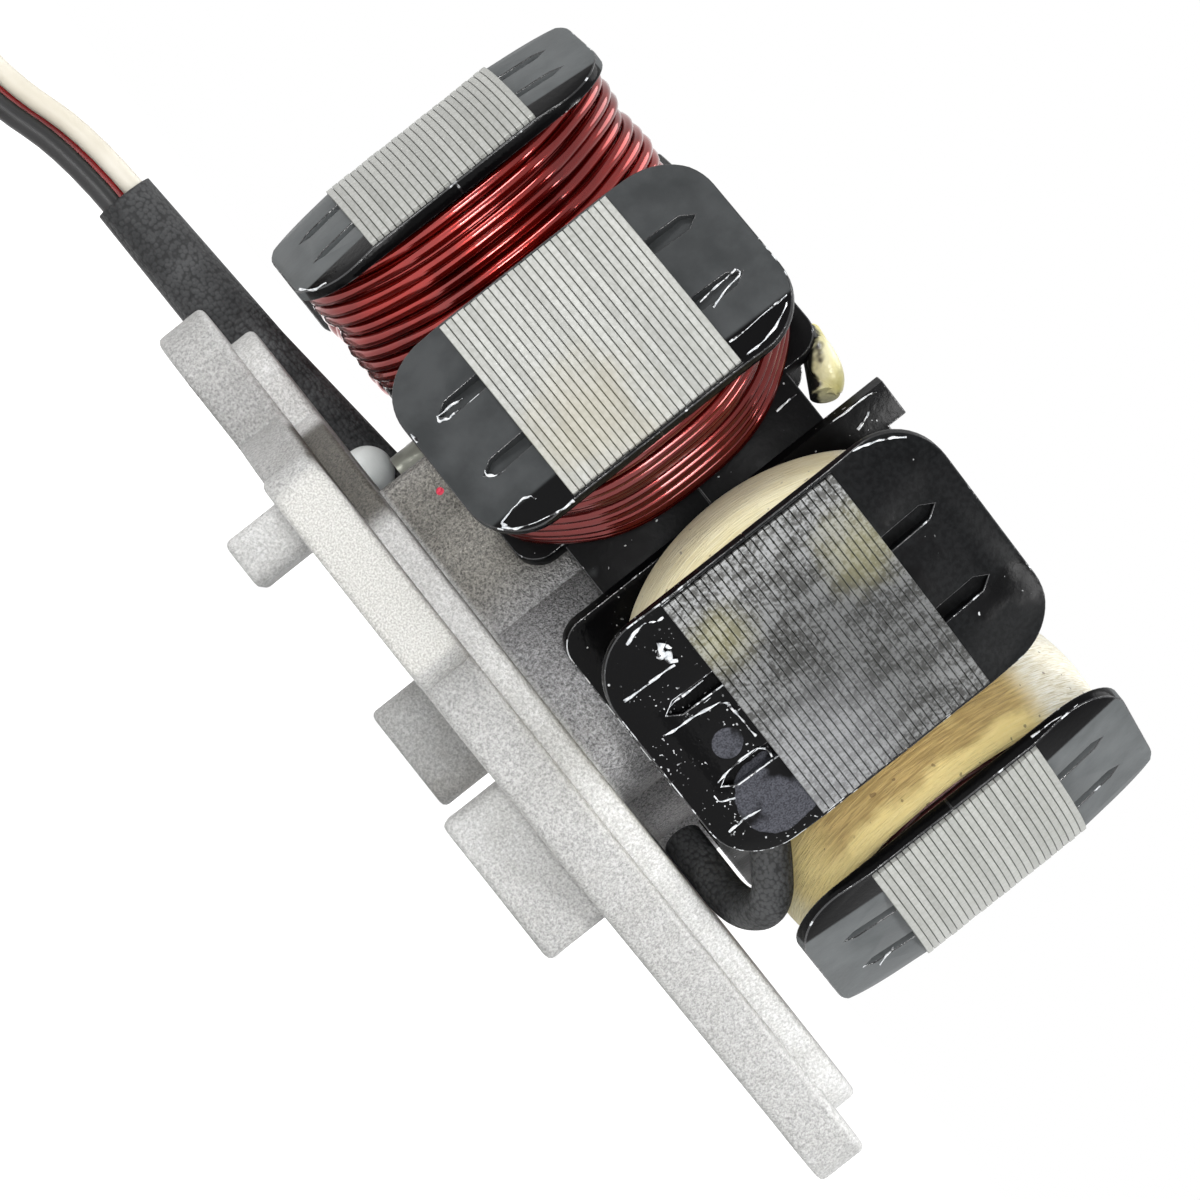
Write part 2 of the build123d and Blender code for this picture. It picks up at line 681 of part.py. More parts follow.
def make_parts():
    casting = make_casting()
    parts = {
        "base_casting": casting,
        "core_laminations": make_core(),
        "insulator_front": make_insulator(1),
        "insulator_back": make_insulator(-1),
        "core_screws": make_core_screws(),
        "lead_sleeve": make_lead_sleeve(),
        "lead_seal": make_lead_seal(casting),
        "loop_sleeve": make_loop_sleeve(),
        "front_wire_sleeve": make_front_wire_sleeve(),
        "lead_coil": make_lead_coil(),
        "lead_connector": make_connector(),
    }
    for name in LEADS:
        parts[name] = make_lead(name)
    charging_poles = [index for index in range(POLE_COUNT) if not is_ignition(index)]
    coil = make_charging_coil(charging_poles[0])
    for number, index in enumerate(charging_poles, 1):
        parts[f"charging_coil_{number}"] = at_pole(coil, index)
    for number, index in enumerate(IGNITION_POLES, 1):
        parts[f"ignition_winding_{number}"] = at_pole(make_ignition_winding(index), index)
        parts[f"tape_wrap_{number}"] = at_pole(make_tape_wrap(index), index)
    return parts


os.makedirs("parts", exist_ok=True)
for node, solid in make_parts().items():
    export_step(solid, f"parts/{node}.step")
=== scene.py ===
import json
import logging
import math
import random
from contextlib import contextmanager
from dataclasses import dataclass
from enum import Enum
from typing import Callable, Iterator, Sequence, Union

import bpy
from bpy.types import ID, MeshEdge, MeshPolygon, Node, NodeSocket, NodeTree, Object
from mathutils import Matrix, Vector

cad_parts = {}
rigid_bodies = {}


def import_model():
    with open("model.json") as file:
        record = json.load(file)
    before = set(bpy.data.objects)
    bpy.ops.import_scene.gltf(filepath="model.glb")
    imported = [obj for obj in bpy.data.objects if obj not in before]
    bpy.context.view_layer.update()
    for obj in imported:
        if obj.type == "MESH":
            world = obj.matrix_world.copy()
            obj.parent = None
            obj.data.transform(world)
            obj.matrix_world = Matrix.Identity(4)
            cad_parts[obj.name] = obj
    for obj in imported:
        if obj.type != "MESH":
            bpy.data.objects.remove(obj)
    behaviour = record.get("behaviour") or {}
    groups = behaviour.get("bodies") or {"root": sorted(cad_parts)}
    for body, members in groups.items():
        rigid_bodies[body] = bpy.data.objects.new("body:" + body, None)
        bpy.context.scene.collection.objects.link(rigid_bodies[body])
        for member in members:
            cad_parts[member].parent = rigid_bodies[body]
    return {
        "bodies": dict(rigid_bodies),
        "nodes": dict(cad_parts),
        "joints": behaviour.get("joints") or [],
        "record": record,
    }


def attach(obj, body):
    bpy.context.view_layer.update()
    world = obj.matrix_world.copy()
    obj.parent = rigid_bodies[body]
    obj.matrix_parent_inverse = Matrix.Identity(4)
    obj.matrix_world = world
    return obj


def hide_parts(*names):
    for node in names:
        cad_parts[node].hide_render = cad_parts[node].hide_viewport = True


LOG = logging.getLogger("stator")

Place = tuple[float, float, float]
Colour = tuple[int, int, int]
Value = Union["Signal", float]

# Sizes are given in millimetres and angles in degrees. Blender works in metres.
MM = 0.001

# Places of the stator's own parts, as in its drawing
POLE_COUNT = 8
FIRST_POLE_DEG = -68.67
IGNITION_POLES = (2, 3)
STACK_BACK = 17.6
STACK_HEIGHT = 15.66
STACK_FRONT = STACK_BACK + STACK_HEIGHT
STACK_MIDDLE = STACK_BACK + STACK_HEIGHT / 2
PLATE_COUNT = 27
PLATE_THICKNESS = STACK_HEIGHT / PLATE_COUNT
FLOOR_Z = -5.4

# How far apart two points of a node's mesh are joined, in metres, and the bend that still counts as flat
WELD = 2e-6
FLAT_DEG = 0.6


def pole_deg(index: int) -> float:
    """The angle of a pole from -Y, in degrees."""
    return FIRST_POLE_DEG + 360.0 / POLE_COUNT * index


# The pole with the oxidised shoe and the varnished flange
DARK_POLE_DEG = pole_deg(IGNITION_POLES[0])


class Way(Enum):
    """The two ends of the core."""

    FRONT = "front"
    BACK = "back"


# Modelling


def spread(draw: random.Random, reach: float, count: int) -> list[float]:
    """Some random numbers that lie up to a reach on either side of 0."""
    return [draw.uniform(-reach, reach) for _ in range(count)]


def vec(x: float, y: float, z: float) -> Vector:
    """A point given in millimetres, in metres."""
    return Vector((x, y, z)) * MM


def take(*pieces: Object) -> None:
    """Select these objects alone, and make the first one active."""
    bpy.ops.object.select_all(action="DESELECT")
    for piece in pieces:
        piece.select_set(True)
    bpy.context.view_layer.objects.active = pieces[0]


def linked(name: str, data: ID) -> Object:
    """A new object around this data, in the scene."""
    piece = bpy.data.objects.new(name, data)
    bpy.context.scene.collection.objects.link(piece)
    return piece


def added(operator: Callable, **settings: object) -> Object:
    """The object that one of Blender's add operators makes."""
    bpy.ops.object.select_all(action="DESELECT")
    operator(**settings)
    return bpy.context.view_layer.objects.active


@contextmanager
def editing(piece: Object, kind: str = "VERT", action: str = "SELECT") -> Iterator[None]:
    """Hold a mesh object in edit mode until the block ends.

    Args:
        piece: The object to edit.
        kind: What is selected in it: VERT, EDGE or FACE.
        action: SELECT or DESELECT for the whole mesh, or nothing to keep its selection.
    """
    take(piece)
    bpy.ops.object.mode_set(mode="EDIT")
    bpy.ops.mesh.select_mode(type=kind)
    if action:
        bpy.ops.mesh.select_all(action=action)
    try:
        yield
    finally:
        bpy.ops.object.mode_set(mode="OBJECT")


def apply_modifier(piece: Object, kind: str, **settings: object) -> None:
    """Add one modifier of a kind, with its settings by name, and apply it."""
    take(piece)
    modifier = piece.modifiers.new(kind.lower(), kind)
    for name, value in settings.items():
        setattr(modifier, name, value)
    bpy.ops.object.modifier_apply(modifier=modifier.name)


def joined(name: str, pieces: Sequence[Object]) -> Object:
    """Join objects into one of this name, with its place, turn and scale in its mesh."""
    take(*pieces)
    if len(pieces) > 1:
        bpy.ops.object.join()
    whole = bpy.context.view_layer.objects.active
    whole.name = name
    whole.data.name = name
    bpy.ops.object.transform_apply(location=True, rotation=True, scale=True)
    return whole


def smooth(piece: Object, angle: float) -> None:
    """Shade smooth, apart from edges sharper than an angle."""
    take(piece)
    bpy.ops.object.shade_smooth_by_angle(angle=math.radians(angle))


def cad_copy(frame: dict, node: str, name: str) -> Object:
    """A copy of a node's mesh under a new name, with its flat faces joined again."""
    piece = linked(name, frame["nodes"][node].data.copy())
    piece.data.name = name
    piece.data.materials.clear()
    with editing(piece):
        bpy.ops.mesh.remove_doubles(threshold=WELD)
        bpy.ops.mesh.customdata_custom_splitnormals_clear()
        bpy.ops.mesh.dissolve_limited(angle_limit=math.radians(FLAT_DEG))
    return piece


def is_convex(piece: Object, edge: MeshEdge, first: MeshPolygon, last: MeshPolygon) -> bool:
    """Whether the two faces at an edge of this piece meet at an outer corner."""
    start, end = (piece.data.vertices[index].co for index in edge.vertices)
    ring = list(last.vertices)
    ahead = (ring.index(edge.vertices[1]) - ring.index(edge.vertices[0])) % len(ring) == 1
    along = end - start if ahead else start - end
    return first.normal.dot(last.normal.cross(along)) < 0.0


def round_corners(piece: Object, width: float, angle: float, segments: int,
                  keep: Callable[[Vector], bool], material: int = -1) -> None:
    """Bevel a mesh's outer corners.

    Args:
        piece: The mesh object.
        width: The bevel's width, in millimetres.
        angle: The least angle of a corner, in degrees.
        segments: Faces across the bevel.
        keep: Tells from an edge's middle whether it is bevelled.
        material: The material slot of the new faces, or -1 for their neighbours' own.
    """
    with editing(piece, "EDGE", "DESELECT"):
        pass
    sides: dict = {}
    for face in piece.data.polygons:
        for key in face.edge_keys:
            sides.setdefault(key, []).append(face)
    for edge in piece.data.edges:
        pair = sides.get(edge.key, ())
        middle = sum((piece.data.vertices[index].co for index in edge.vertices), Vector()) / 2
        edge.select = (len(pair) == 2 and pair[0].normal.angle(pair[1].normal, 0.0) > math.radians(angle)
                       and keep(middle) and is_convex(piece, edge, *pair))
    with editing(piece, "EDGE", ""):
        bpy.ops.mesh.bevel(offset=width * MM, offset_type="OFFSET", segments=segments, affect="EDGES",
                           clamp_overlap=False, material=material)


def smooth_curve(name: str, points: Sequence[Vector], radius: float, sides: int, fine: int = 6) -> Object:
    """A NURBS curve with a round section, through its end points.

    Args:
        name: The curve's name.
        points: The control points, in metres.
        radius: The section's radius, in millimetres.
        sides: Blender's bevel resolution.
        fine: The curve's own resolution.

    Returns:
        A curve object.
    """
    data = bpy.data.curves.new(name, "CURVE")
    data.dimensions = "3D"
    data.bevel_depth = radius * MM
    data.bevel_resolution = sides
    data.resolution_u = fine
    data.use_fill_caps = True
    spline = data.splines.new("NURBS")
    spline.points.add(len(points) - 1)
    for control, point in zip(spline.points, points):
        control.co = (*point, 1.0)
    spline.order_u = 3
    spline.use_endpoint_u = True
    return linked(name, data)


def as_mesh(curve: Object) -> Object:
    """Turn a curve into the mesh that it shows."""
    take(curve)
    bpy.ops.object.convert(target="MESH")
    return bpy.context.view_layer.objects.active


def coil_plane(pole: int, distance: float) -> Matrix:
    """A coil's plane at a distance in millimetres: X across its pole, Y along the crankshaft, Z outwards."""
    angle = math.radians(pole_deg(pole))
    out = Vector((math.sin(angle), -math.cos(angle), 0.0))
    across = Vector((math.cos(angle), math.sin(angle), 0.0))
    up = Vector((0.0, 0.0, 1.0))
    turn = Matrix((across, up, out)).transposed().to_4x4()
    return Matrix.Translation(out * distance * MM + up * STACK_MIDDLE * MM) @ turn


# Shader graphs


def tint(red: int, green: int, blue: int) -> tuple[float, float, float, float]:
    """A linear colour from sRGB values of 0 to 255."""
    shares = [value / 255.0 for value in (red, green, blue)]
    return (*(s / 12.92 if s <= 0.04045 else ((s + 0.055) / 1.055) ** 2.4 for s in shares), 1.0)


class Signal:
    """An output socket in a shader graph, with arithmetic that adds nodes."""

    def __init__(self, graph: "Graph", socket: NodeSocket) -> None:
        """Hold the graph and the socket."""
        self.graph = graph
        self.socket = socket

    def __getitem__(self, output: str | int) -> "Signal":
        """Another output of the same node."""
        return Signal(self.graph, self.socket.node.outputs[output])

    def __add__(self, other: Value) -> "Signal":
        """The sum."""
        return self.graph.math("ADD", self, other)

    def __sub__(self, other: Value) -> "Signal":
        """The difference."""
        return self.graph.math("SUBTRACT", self, other)

    def __rsub__(self, other: float) -> "Signal":
        """A number less this."""
        return self.graph.math("SUBTRACT", other, self)

    def __mul__(self, other: Value) -> "Signal":
        """The product, or where two masks overlap."""
        return self.graph.math("MULTIPLY", self, other)

    def __truediv__(self, other: Value) -> "Signal":
        """The quotient."""
        return self.graph.math("DIVIDE", self, other)

    def __or__(self, other: Value) -> "Signal":
        """The larger, or two masks together."""
        return self.graph.math("MAXIMUM", self, other)

    def less(self, other: "Signal") -> "Signal":
        """What another mask leaves of this one."""
        return self.graph.math("SUBTRACT", self, other, clamp=True)

    def step(self, low: float, high: float, first: float = 0.0, last: float = 1.0) -> "Signal":
        """A smooth step from one value to another."""
        values = {"Value": self, "From Min": low, "From Max": high, "To Min": first, "To Max": last}
        return self.graph.add("MapRange", values, interpolation_type="SMOOTHSTEP")

    def at(self, low: float, high: float) -> "Signal":
        """A smooth step between two places in millimetres."""
        return self.step(low * MM, high * MM)

    def to(self, first: float, last: float) -> "Signal":
        """The value between two others that a mask picks."""
        return self.step(0.0, 1.0, first, last)


class Graph:
    """Builds one node tree, in a material, a world or a group."""

    def __init__(self, tree: NodeTree) -> None:
        """Hold the tree that the nodes go into."""
        self.tree = tree

    def feed(self, node: Node, values: dict) -> None:
        """Set a node's inputs by name or number, or link them from signals."""
        for name, value in values.items():
            if isinstance(value, Signal):
                self.tree.links.new(value.socket, node.inputs[name])
            else:
                node.inputs[name].default_value = value

    def add(self, kind: str, values: dict | None = None, **settings: object) -> Signal:
        """Add a node.

        Args:
            kind: The node's type after ShaderNode, such as TexNoise.
            values: Its inputs, each a value or a signal.
            settings: The node's own properties.

        Returns:
            The node's first output.
        """
        node = self.tree.nodes.new(f"ShaderNode{kind}")
        for name, value in settings.items():
            setattr(node, name, value)
        self.feed(node, values or {})
        return Signal(self, node.outputs[0])

    def math(self, operation: str, *values: Value, clamp: bool = False) -> Signal:
        """One step of arithmetic."""
        return self.add("Math", dict(enumerate(values)), operation=operation, use_clamp=clamp)

    def noise(self, where: Signal, scale: Value, detail: float = 2.0, roughness: float = 0.5,
              distortion: float = 0.0) -> Signal:
        """Noise from 0 to 1, at a scale per metre."""
        values = {"Scale": scale, "Detail": detail, "Roughness": roughness, "Distortion": distortion}
        return self.add("TexNoise", {"Vector": where, **values})

    def mix(self, share: Value, first: Signal | Colour, last: Signal | Colour, blend: str = "MIX") -> Signal:
        """A colour between two others, each a signal or an sRGB colour."""
        pair = [tint(*colour) if isinstance(colour, tuple) else colour for colour in (first, last)]
        return self.add("Mix", dict(zip((0, 6, 7), (share, *pair))), data_type="RGBA", blend_type=blend)[2]

    def bump(self, height: Signal, depth: float, strength: float, below: Signal | None = None) -> Signal:
        """A normal from a height, a full step's depth in millimetres and a strength, over one below."""
        values = {"Height": height, "Distance": depth * MM, "Strength": strength}
        return self.add("Bump", values if below is None else {**values, "Normal": below})

    def around(self, where: Signal) -> Signal:
        """The angle round the crankshaft from -Y, in radians."""
        parts = self.add("SeparateXYZ", {"Vector": where})
        return self.math("ARCTAN2", parts["X"], parts["Y"] * -1.0)

    def seen(self) -> Signal:
        """1 for rays from the camera, a mirror or glass, and 0 for light between surfaces."""
        rays = self.add("LightPath")
        return rays["Is Camera Ray"] | (rays["Is Glossy Ray"] | rays["Is Transmission Ray"])


# Shared effects, each a node group that is built once


def grain(graph: Graph, where: Signal, scale: Signal) -> dict[str, Signal]:
    """Cast or moulded grain: a fine height, and a slow tone over it."""
    slow = graph.noise(where, scale * 0.12, 4.0)
    return {"Height": graph.noise(where, scale).step(0.3, 0.7), "Tone": slow.step(0.28, 0.72)}


def sector(graph: Graph, where: Signal, angle: Signal, half: Signal, soft: Signal) -> dict[str, Signal]:
    """A mask that is 1 within an angle round the crankshaft, with a soft edge."""
    off = graph.math("ABSOLUTE", graph.math("DEGREES", graph.around(where)) - angle)
    return {"Mask": ((half - off) / soft).step(-0.5, 0.5)}


def spot(graph: Graph, where: Signal, centre: Signal, radius: Signal, ragged: Signal,
         soft: Signal) -> dict[str, Signal]:
    """A round mask about a point, with a ragged edge."""
    share = graph.add("VectorMath", {0: where, 1: centre}, operation="DISTANCE")["Value"] / radius
    shift = (graph.noise(where, 420.0, 3.0) - 0.5) * ragged
    return {"Mask": ((1.0 - (share + shift)) / soft).step(0.0, 1.0)}


def fibres(graph: Graph, where: Signal, along: Signal, across: Signal) -> dict[str, Signal]:
    """Long fibres along a UV map's first direction, in loose strands."""
    parts = graph.add("SeparateXYZ", {"Vector": where})
    u, v = parts["X"] * along, parts["Y"] * across
    strand = graph.noise(graph.add("CombineXYZ", {"X": u, "Y": v}), 1.0, 3.0, distortion=0.4)
    fuzz = graph.noise(graph.add("CombineXYZ", {"X": u * 1.7, "Y": v * 3.1}), 1.0, distortion=0.8)
    return {"Strand": strand.step(0.34, 0.66), "Fuzz": fuzz.step(0.36, 0.64)}


def plates(graph: Graph, where: Signal) -> dict[str, Signal]:
    """A tone of its own for each plate of the core, with the marks along its edge."""
    height = graph.add("SeparateXYZ", {"Vector": where})["Z"]
    level = (height - STACK_BACK * MM) / (PLATE_THICKNESS * MM)
    middle = graph.math("ABSOLUTE", graph.math("FRACT", level) - 0.5)
    streaks = graph.noise(graph.add("Mapping", {"Vector": where, "Scale": (2.2, 2.2, 0.5)}), 900.0, 4.0)
    along = graph.around(where) * 190.0
    own = graph.noise(graph.add("CombineXYZ", {"X": along, "Y": level * 1.9}), 0.8, 2.0, 0.65)
    shared = graph.noise(graph.add("CombineXYZ", {"X": along, "Y": level}), 0.16)
    return {
        "Tone": graph.add("TexWhiteNoise", {"W": graph.math("FLOOR", level)}, noise_dimensions="1D"),
        "Streak": streaks.step(0.3, 0.7),
        "Edge": middle.step(0.38, 0.49),
        "Dash": (own + shared.to(0.28, 0.72)).step(0.88, 1.12),
    }


def varnish(graph: Graph, where: Signal, cover: Signal) -> dict[str, Signal]:
    """Brushed-on varnish: where it lies thick, and its lumpy height."""
    thick = graph.noise(where, 190.0, 3.0) - (1.0 - cover).to(0.2, 0.8)
    lumps = graph.noise(where, 520.0) * 0.35
    return {"Thick": thick.step(-0.03, 0.05), "Height": thick.step(-0.05, 0.12) + lumps}


def new_group(build: Callable, vectors: str, numbers: str = "") -> NodeTree:
    """Build one shader node group.

    Args:
        build: Makes the output signals by name from a graph and the input signals.
        vectors: The names of the vector inputs.
        numbers: The names of the number inputs.

    Returns:
        The group's tree, named after its builder.
    """
    tree = bpy.data.node_groups.new(build.__name__, "ShaderNodeTree")
    labels = vectors.split() + numbers.split()
    for label in labels:
        kind = "NodeSocketVector" if label in vectors.split() else "NodeSocketFloat"
        tree.interface.new_socket(label, in_out="INPUT", socket_type=kind)
    graph = Graph(tree)
    given = Signal(graph, tree.nodes.new("NodeGroupInput").outputs[0])
    results = build(graph, *(given[label] for label in labels))
    for label in results:
        tree.interface.new_socket(label, in_out="OUTPUT", socket_type="NodeSocketFloat")
    graph.feed(tree.nodes.new("NodeGroupOutput"), results)
    return tree


def build_effects() -> dict[str, NodeTree]:
    """Every shared effect by its name."""
    trees = (
        new_group(grain, "Vector", "Scale"),
        new_group(sector, "Vector", "Angle Half Soft"),
        new_group(spot, "Vector Centre", "Radius Ragged Soft"),
        new_group(fibres, "Vector", "Along Across"),
        new_group(plates, "Vector"),
        new_group(varnish, "Vector", "Cover"),
    )
    return {tree.name: tree for tree in trees}


class Finish(Graph):
    """A material on object coordinates, around one Principled shader."""

    name = "finish"

    def __init__(self, effects: dict[str, NodeTree]) -> None:
        """Build the material out of the shared effects."""
        self.effects = effects
        self.material = bpy.data.materials.new(self.name)
        self.material.use_nodes = True
        super().__init__(self.material.node_tree)
        coordinates = self.add("TexCoord")
        self.where, self.uv = coordinates["Object"], coordinates["UV"]
        parts = self.add("SeparateXYZ", {"Vector": self.where})
        self.x, self.y, self.z = parts["X"], parts["Y"], parts["Z"]
        self.dress()

    def dress(self) -> None:
        """Lay the finish's own nodes."""
        raise NotImplementedError

    def set(self, **values: object) -> None:
        """Set or link the shader's inputs, named with underscores for spaces."""
        named = {name.replace("_", " "): value for name, value in values.items()}
        self.feed(self.tree.nodes["Principled BSDF"], named)

    def effect(self, name: str, **values: object) -> Signal:
        """Place a shared effect on the object's coordinates."""
        return self.add("Group", {"Vector": self.where, **values}, node_tree=self.effects[name])

    def grain(self, scale: float) -> Signal:
        """The grain, with its Height and Tone, at a scale per metre."""
        return self.effect("grain", Scale=scale)

    def sector(self, angle: float, half: float, soft: float = 1.5) -> Signal:
        """A mask round the crankshaft, from its middle, half width and soft edge in degrees."""
        return self.effect("sector", Angle=angle, Half=half, Soft=soft)

    def spot(self, centre: Place, radius: float, ragged: float, soft: float = 0.2) -> Signal:
        """A mask about a point, with its edges given as shares of its radius."""
        return self.effect("spot", Centre=vec(*centre), Radius=radius * MM, Ragged=ragged, Soft=soft)

    def fleck(self, scale: float, low: float, high: float, detail: float = 2.0) -> Signal:
        """A mask where noise on the object's coordinates rises from one value to another."""
        return self.noise(self.where, scale, detail).step(low, high)

    def radius(self) -> Signal:
        """The distance from the crankshaft's axis, in metres."""
        return self.math("SQRT", self.math("POWER", self.x, 2.0) + self.math("POWER", self.y, 2.0))

    def back_flange(self) -> Signal:
        """A mask over the dark pole's flange, on the back half of the moulding."""
        return self.sector(DARK_POLE_DEG, 19.0, 2.0) * self.z.at(23.0, 20.0)


class CastAluminium(Finish):
    """Die-cast plate: pale, with a fine sparkling grain, darker up the neck."""

    name = "cast_aluminium"

    def dress(self) -> None:
        """Lay grain, stains, the darker neck, painted light on the feet, the deck wall and the lug's front
        face, painted shadow on the deck wall beneath the flanges, and a dab of red paint.
        """
        fine, coarse = self.grain(6800.0), self.grain(3900.0)
        sparkle = (fine["Height"] + coarse["Height"]) * 0.5
        # Painted light: the low feet and the deck wall get a lighter colour than the rim, standing in for the
        # light that the plate and the moulding keep from them.
        wall = self.z.at(3.7, 4.3) * self.z.at(6.6, 6.3)
        low = self.z.at(0.3, -0.3) * self.x.at(20.0, 0.0)
        rim = self.mix(sparkle, (136, 136, 135), (198, 198, 197))
        feet = self.mix(sparkle, (178, 178, 177), (236, 236, 235))
        pale = self.mix(low | wall * 0.7, rim, feet)
        toned = self.mix(coarse["Tone"] * 0.2, pale, (214, 212, 206), "MULTIPLY")
        warm = self.spot((9.5, 8.0, -3.0), 12.0, 1.0, 0.8)
        stained = self.mix(warm * 0.3, toned, (196, 186, 170), "MULTIPLY")
        neck = self.z.at(6.4, 7.0) * self.radius().at(23.5, 22.8)
        rough = self.mix(sparkle, (74, 74, 75), (170, 170, 171))
        brown = self.mix(self.sector(-34.0, 22.0, 20.0), rough, (208, 204, 192), "MULTIPLY")
        dark = self.mix(neck, stained, brown)
        # Painted light: the lug's face nearest the front is lighter, most of all round one spot, standing in
        # for the light that falls on it.
        bright = self.spot((-9.6, -30.0, 3.6), 13.0, 0.2, 0.3)
        lug_painted_light = self.mix(bright * 0.8, dark, self.mix(fine["Height"], (172, 171, 166), (216, 215, 211)))
        lit = self.mix(self.y.at(-29.4, -29.9), dark, lug_painted_light)
        # Painted shadow: a dark brown strip on the deck wall between the first two poles, for the shade that
        # falls beneath their flanges.
        flange_shadow_tone = self.mix(sparkle, (34, 31, 26), (92, 88, 78))
        flange_shadowed = self.mix(self.sector(-52.0, 17.0, 6.0) * wall * 0.93, lit, flange_shadow_tone)
        dab = self.spot((-13.72, -13.79, 10.17), 0.36, 0.9)
        self.set(Base_Color=self.mix(dab * 0.9, flange_shadowed, (206, 26, 66)), Metallic=neck.to(0.15, 0.35),
                 Roughness=neck.to(0.55, 0.4),
                 Normal=self.bump(fine["Height"], 0.035, 0.7, self.bump(coarse["Height"], 0.04, 0.5)))


class LaminationSteel(Finish):
    """Punched plate edges: clean grey, with one dark, oxidised shoe and one stained shoe."""

    name = "lamination_steel"

    def dress(self) -> None:
        """Lay plate tones, dashes, oxide, stain, and painted shade and light on the dark shoe."""
        plate, grain = self.effect("plates"), self.grain(2600.0)
        edge = plate["Edge"]
        clean = self.mix(plate["Tone"], (161, 162, 158), (178, 179, 175))
        speck = self.mix(grain["Height"] * 0.5, clean, (214, 214, 210), "MULTIPLY")
        fourth = self.mix(self.sector(pole_deg(3), 20.0) * 0.14, speck, (70, 72, 68))
        lined = self.mix(edge * 0.6, fourth, (60, 60, 57))
        dark = self.mix(plate["Dash"], (120, 121, 121), (54, 54, 52))
        shade = self.spot((15.0, -33.5, 28.0), 13.0, 0.3, 0.8)
        shaded = self.mix(shade * 0.6, dark, (120, 121, 122), "MULTIPLY")
        upper = self.spot((9.0, -36.8, 31.5), 4.5, 0.8, 0.9)
        lower = self.spot((8.0, -37.0, 19.5), 3.5, 0.8, 0.9)
        olive = self.mix(self.math("ADD", upper, lower, clamp=True) * 0.4, shaded, (140, 136, 96))
        # Painted light: a lighter patch near the lower end of the dark shoe, below the painted shade.
        bright = self.spot((20.0, -32.5, 20.0), 9.0, 0.5, 0.9)
        lit_lower_end = self.mix(bright * 0.35, olive, (156, 157, 160))
        rims = self.mix(edge * 0.45, lit_lower_end, self.mix(shade, (48, 48, 46), (150, 151, 150)))
        oxide = self.sector(DARK_POLE_DEG, 20.0)
        stain = self.spot((-10.5, -36.0, 22.0), 7.0, 1.0, 0.8)
        self.set(Base_Color=self.mix(stain * 0.25, self.mix(oxide, lined, rims), (166, 152, 112)),
                 Metallic=oxide.to(0.2, 0.45), Roughness=oxide.to(0.55, 0.42),
                 Normal=self.bump(plate["Streak"], 0.015, 0.5))


class MouldedBlack(Finish):
    """Black moulding: matte slate, with brushed varnish on the hub side and on one flange."""

    name = "black_insulator"

    def dress(self) -> None:
        """Lay moulded grain, the varnish, a painted sheen on the flanges that face sideways, and painted
        glints.
        """
        grain, fine = self.grain(2600.0), self.grain(7000.0)
        middle = self.sector(DARK_POLE_DEG, 19.0, 2.0)
        bare = self.spot((14.5, -34.4, 15.2), 1.4, 0.25, 0.08)
        bare |= self.spot((19.6, -32.3, 15.9), 3.5, 0.4, 0.08)
        flange = self.back_flange().less(bare)
        hub = self.radius().at(29.0, 26.0) * 0.8
        coat = self.effect("varnish", Cover=(flange | hub) | (middle * 0.4 | 0.18))
        matte = self.mix(grain["Tone"], (54, 56, 57), (70, 72, 73))
        pale = self.mix(grain["Tone"], (80, 83, 84), (98, 101, 102))
        # Painted sheen: the flanges that face sideways, seen at a grazing angle, get a paler grey in place of
        # the reflection that they would show.
        sheen_sideways = (self.math("ABSOLUTE", self.x) / self.radius()).step(0.6, 0.8)
        black = self.mix(grain["Height"], (8, 9, 10), (20, 21, 22))
        washed = self.mix(middle, self.mix(sheen_sideways, matte, pale), black)
        grey = self.mix(bare * 0.9, washed, self.mix(fine["Height"], (52, 53, 58), (84, 85, 92)))
        wings = (self.sector(pole_deg(0) + 13.2, 3.1, 0.5) | self.sector(pole_deg(1) + 13.2, 3.1, 0.5)
                 | self.sector(pole_deg(3) - 15.3, 3.2, 0.5))
        wings = self.radius().at(32.0, 33.0) * wings
        soaked = self.mix(coat["Thick"] | wings, grey, (10, 10, 11))
        # Painted highlights: white flecks, in clusters on the dark flange and scattered over thick varnish,
        # standing in for glints on the wet varnish.
        glint_flecks_small = self.fleck(4300.0, 0.73, 0.77, 0.0) * (self.fleck(330.0, 0.5, 0.6, 1.0) * flange)
        glint_flecks_large = self.fleck(3300.0, 0.83, 0.86, 0.0) * coat["Thick"]
        polish = coat["Thick"] * flange.to(0.12, 0.42)
        front = middle * self.z.at(23.0, 20.0).step(1.0, 0.0) * 0.08
        rough = (grain["Tone"].to(0.46, 0.58) - polish).less(front).less(wings * 0.36)
        self.set(Base_Color=self.mix((glint_flecks_small | glint_flecks_large) * 0.7, soaked, (222, 224, 226)), Roughness=rough,
                 Specular_IOR_Level=0.06,
                 Normal=self.bump(coat["Height"], 0.06, 0.5, self.bump(grain["Height"], 0.012, 0.5)))


class WetEdge(Finish):
    """The moulding's edges, where varnish has gathered, with pale ridges painted on as glints."""

    name = "black_insulator_edge"

    def dress(self) -> None:
        """Lay a thin glossy black, broken by pale ridges that are painted highlights."""
        grain = self.grain(1700.0)
        height = grain["Height"]
        # Painted highlights: pale ridges, with more of them on the dark pole's back flange, standing in for
        # glints on the varnish edges.
        run = self.noise(self.where, 620.0, 3.0) + self.back_flange() * 0.17
        ridge = run.step(0.64, 0.68) * height.step(0.05, 0.3)
        black = self.mix(grain["Tone"], (16, 16, 18), (34, 35, 37))
        self.set(Base_Color=self.mix(ridge * 0.9, black, (214, 217, 220)),
                 Roughness=height.step(0.2, 0.8, 0.12, 0.3), Normal=self.bump(height, 0.03, 0.7))


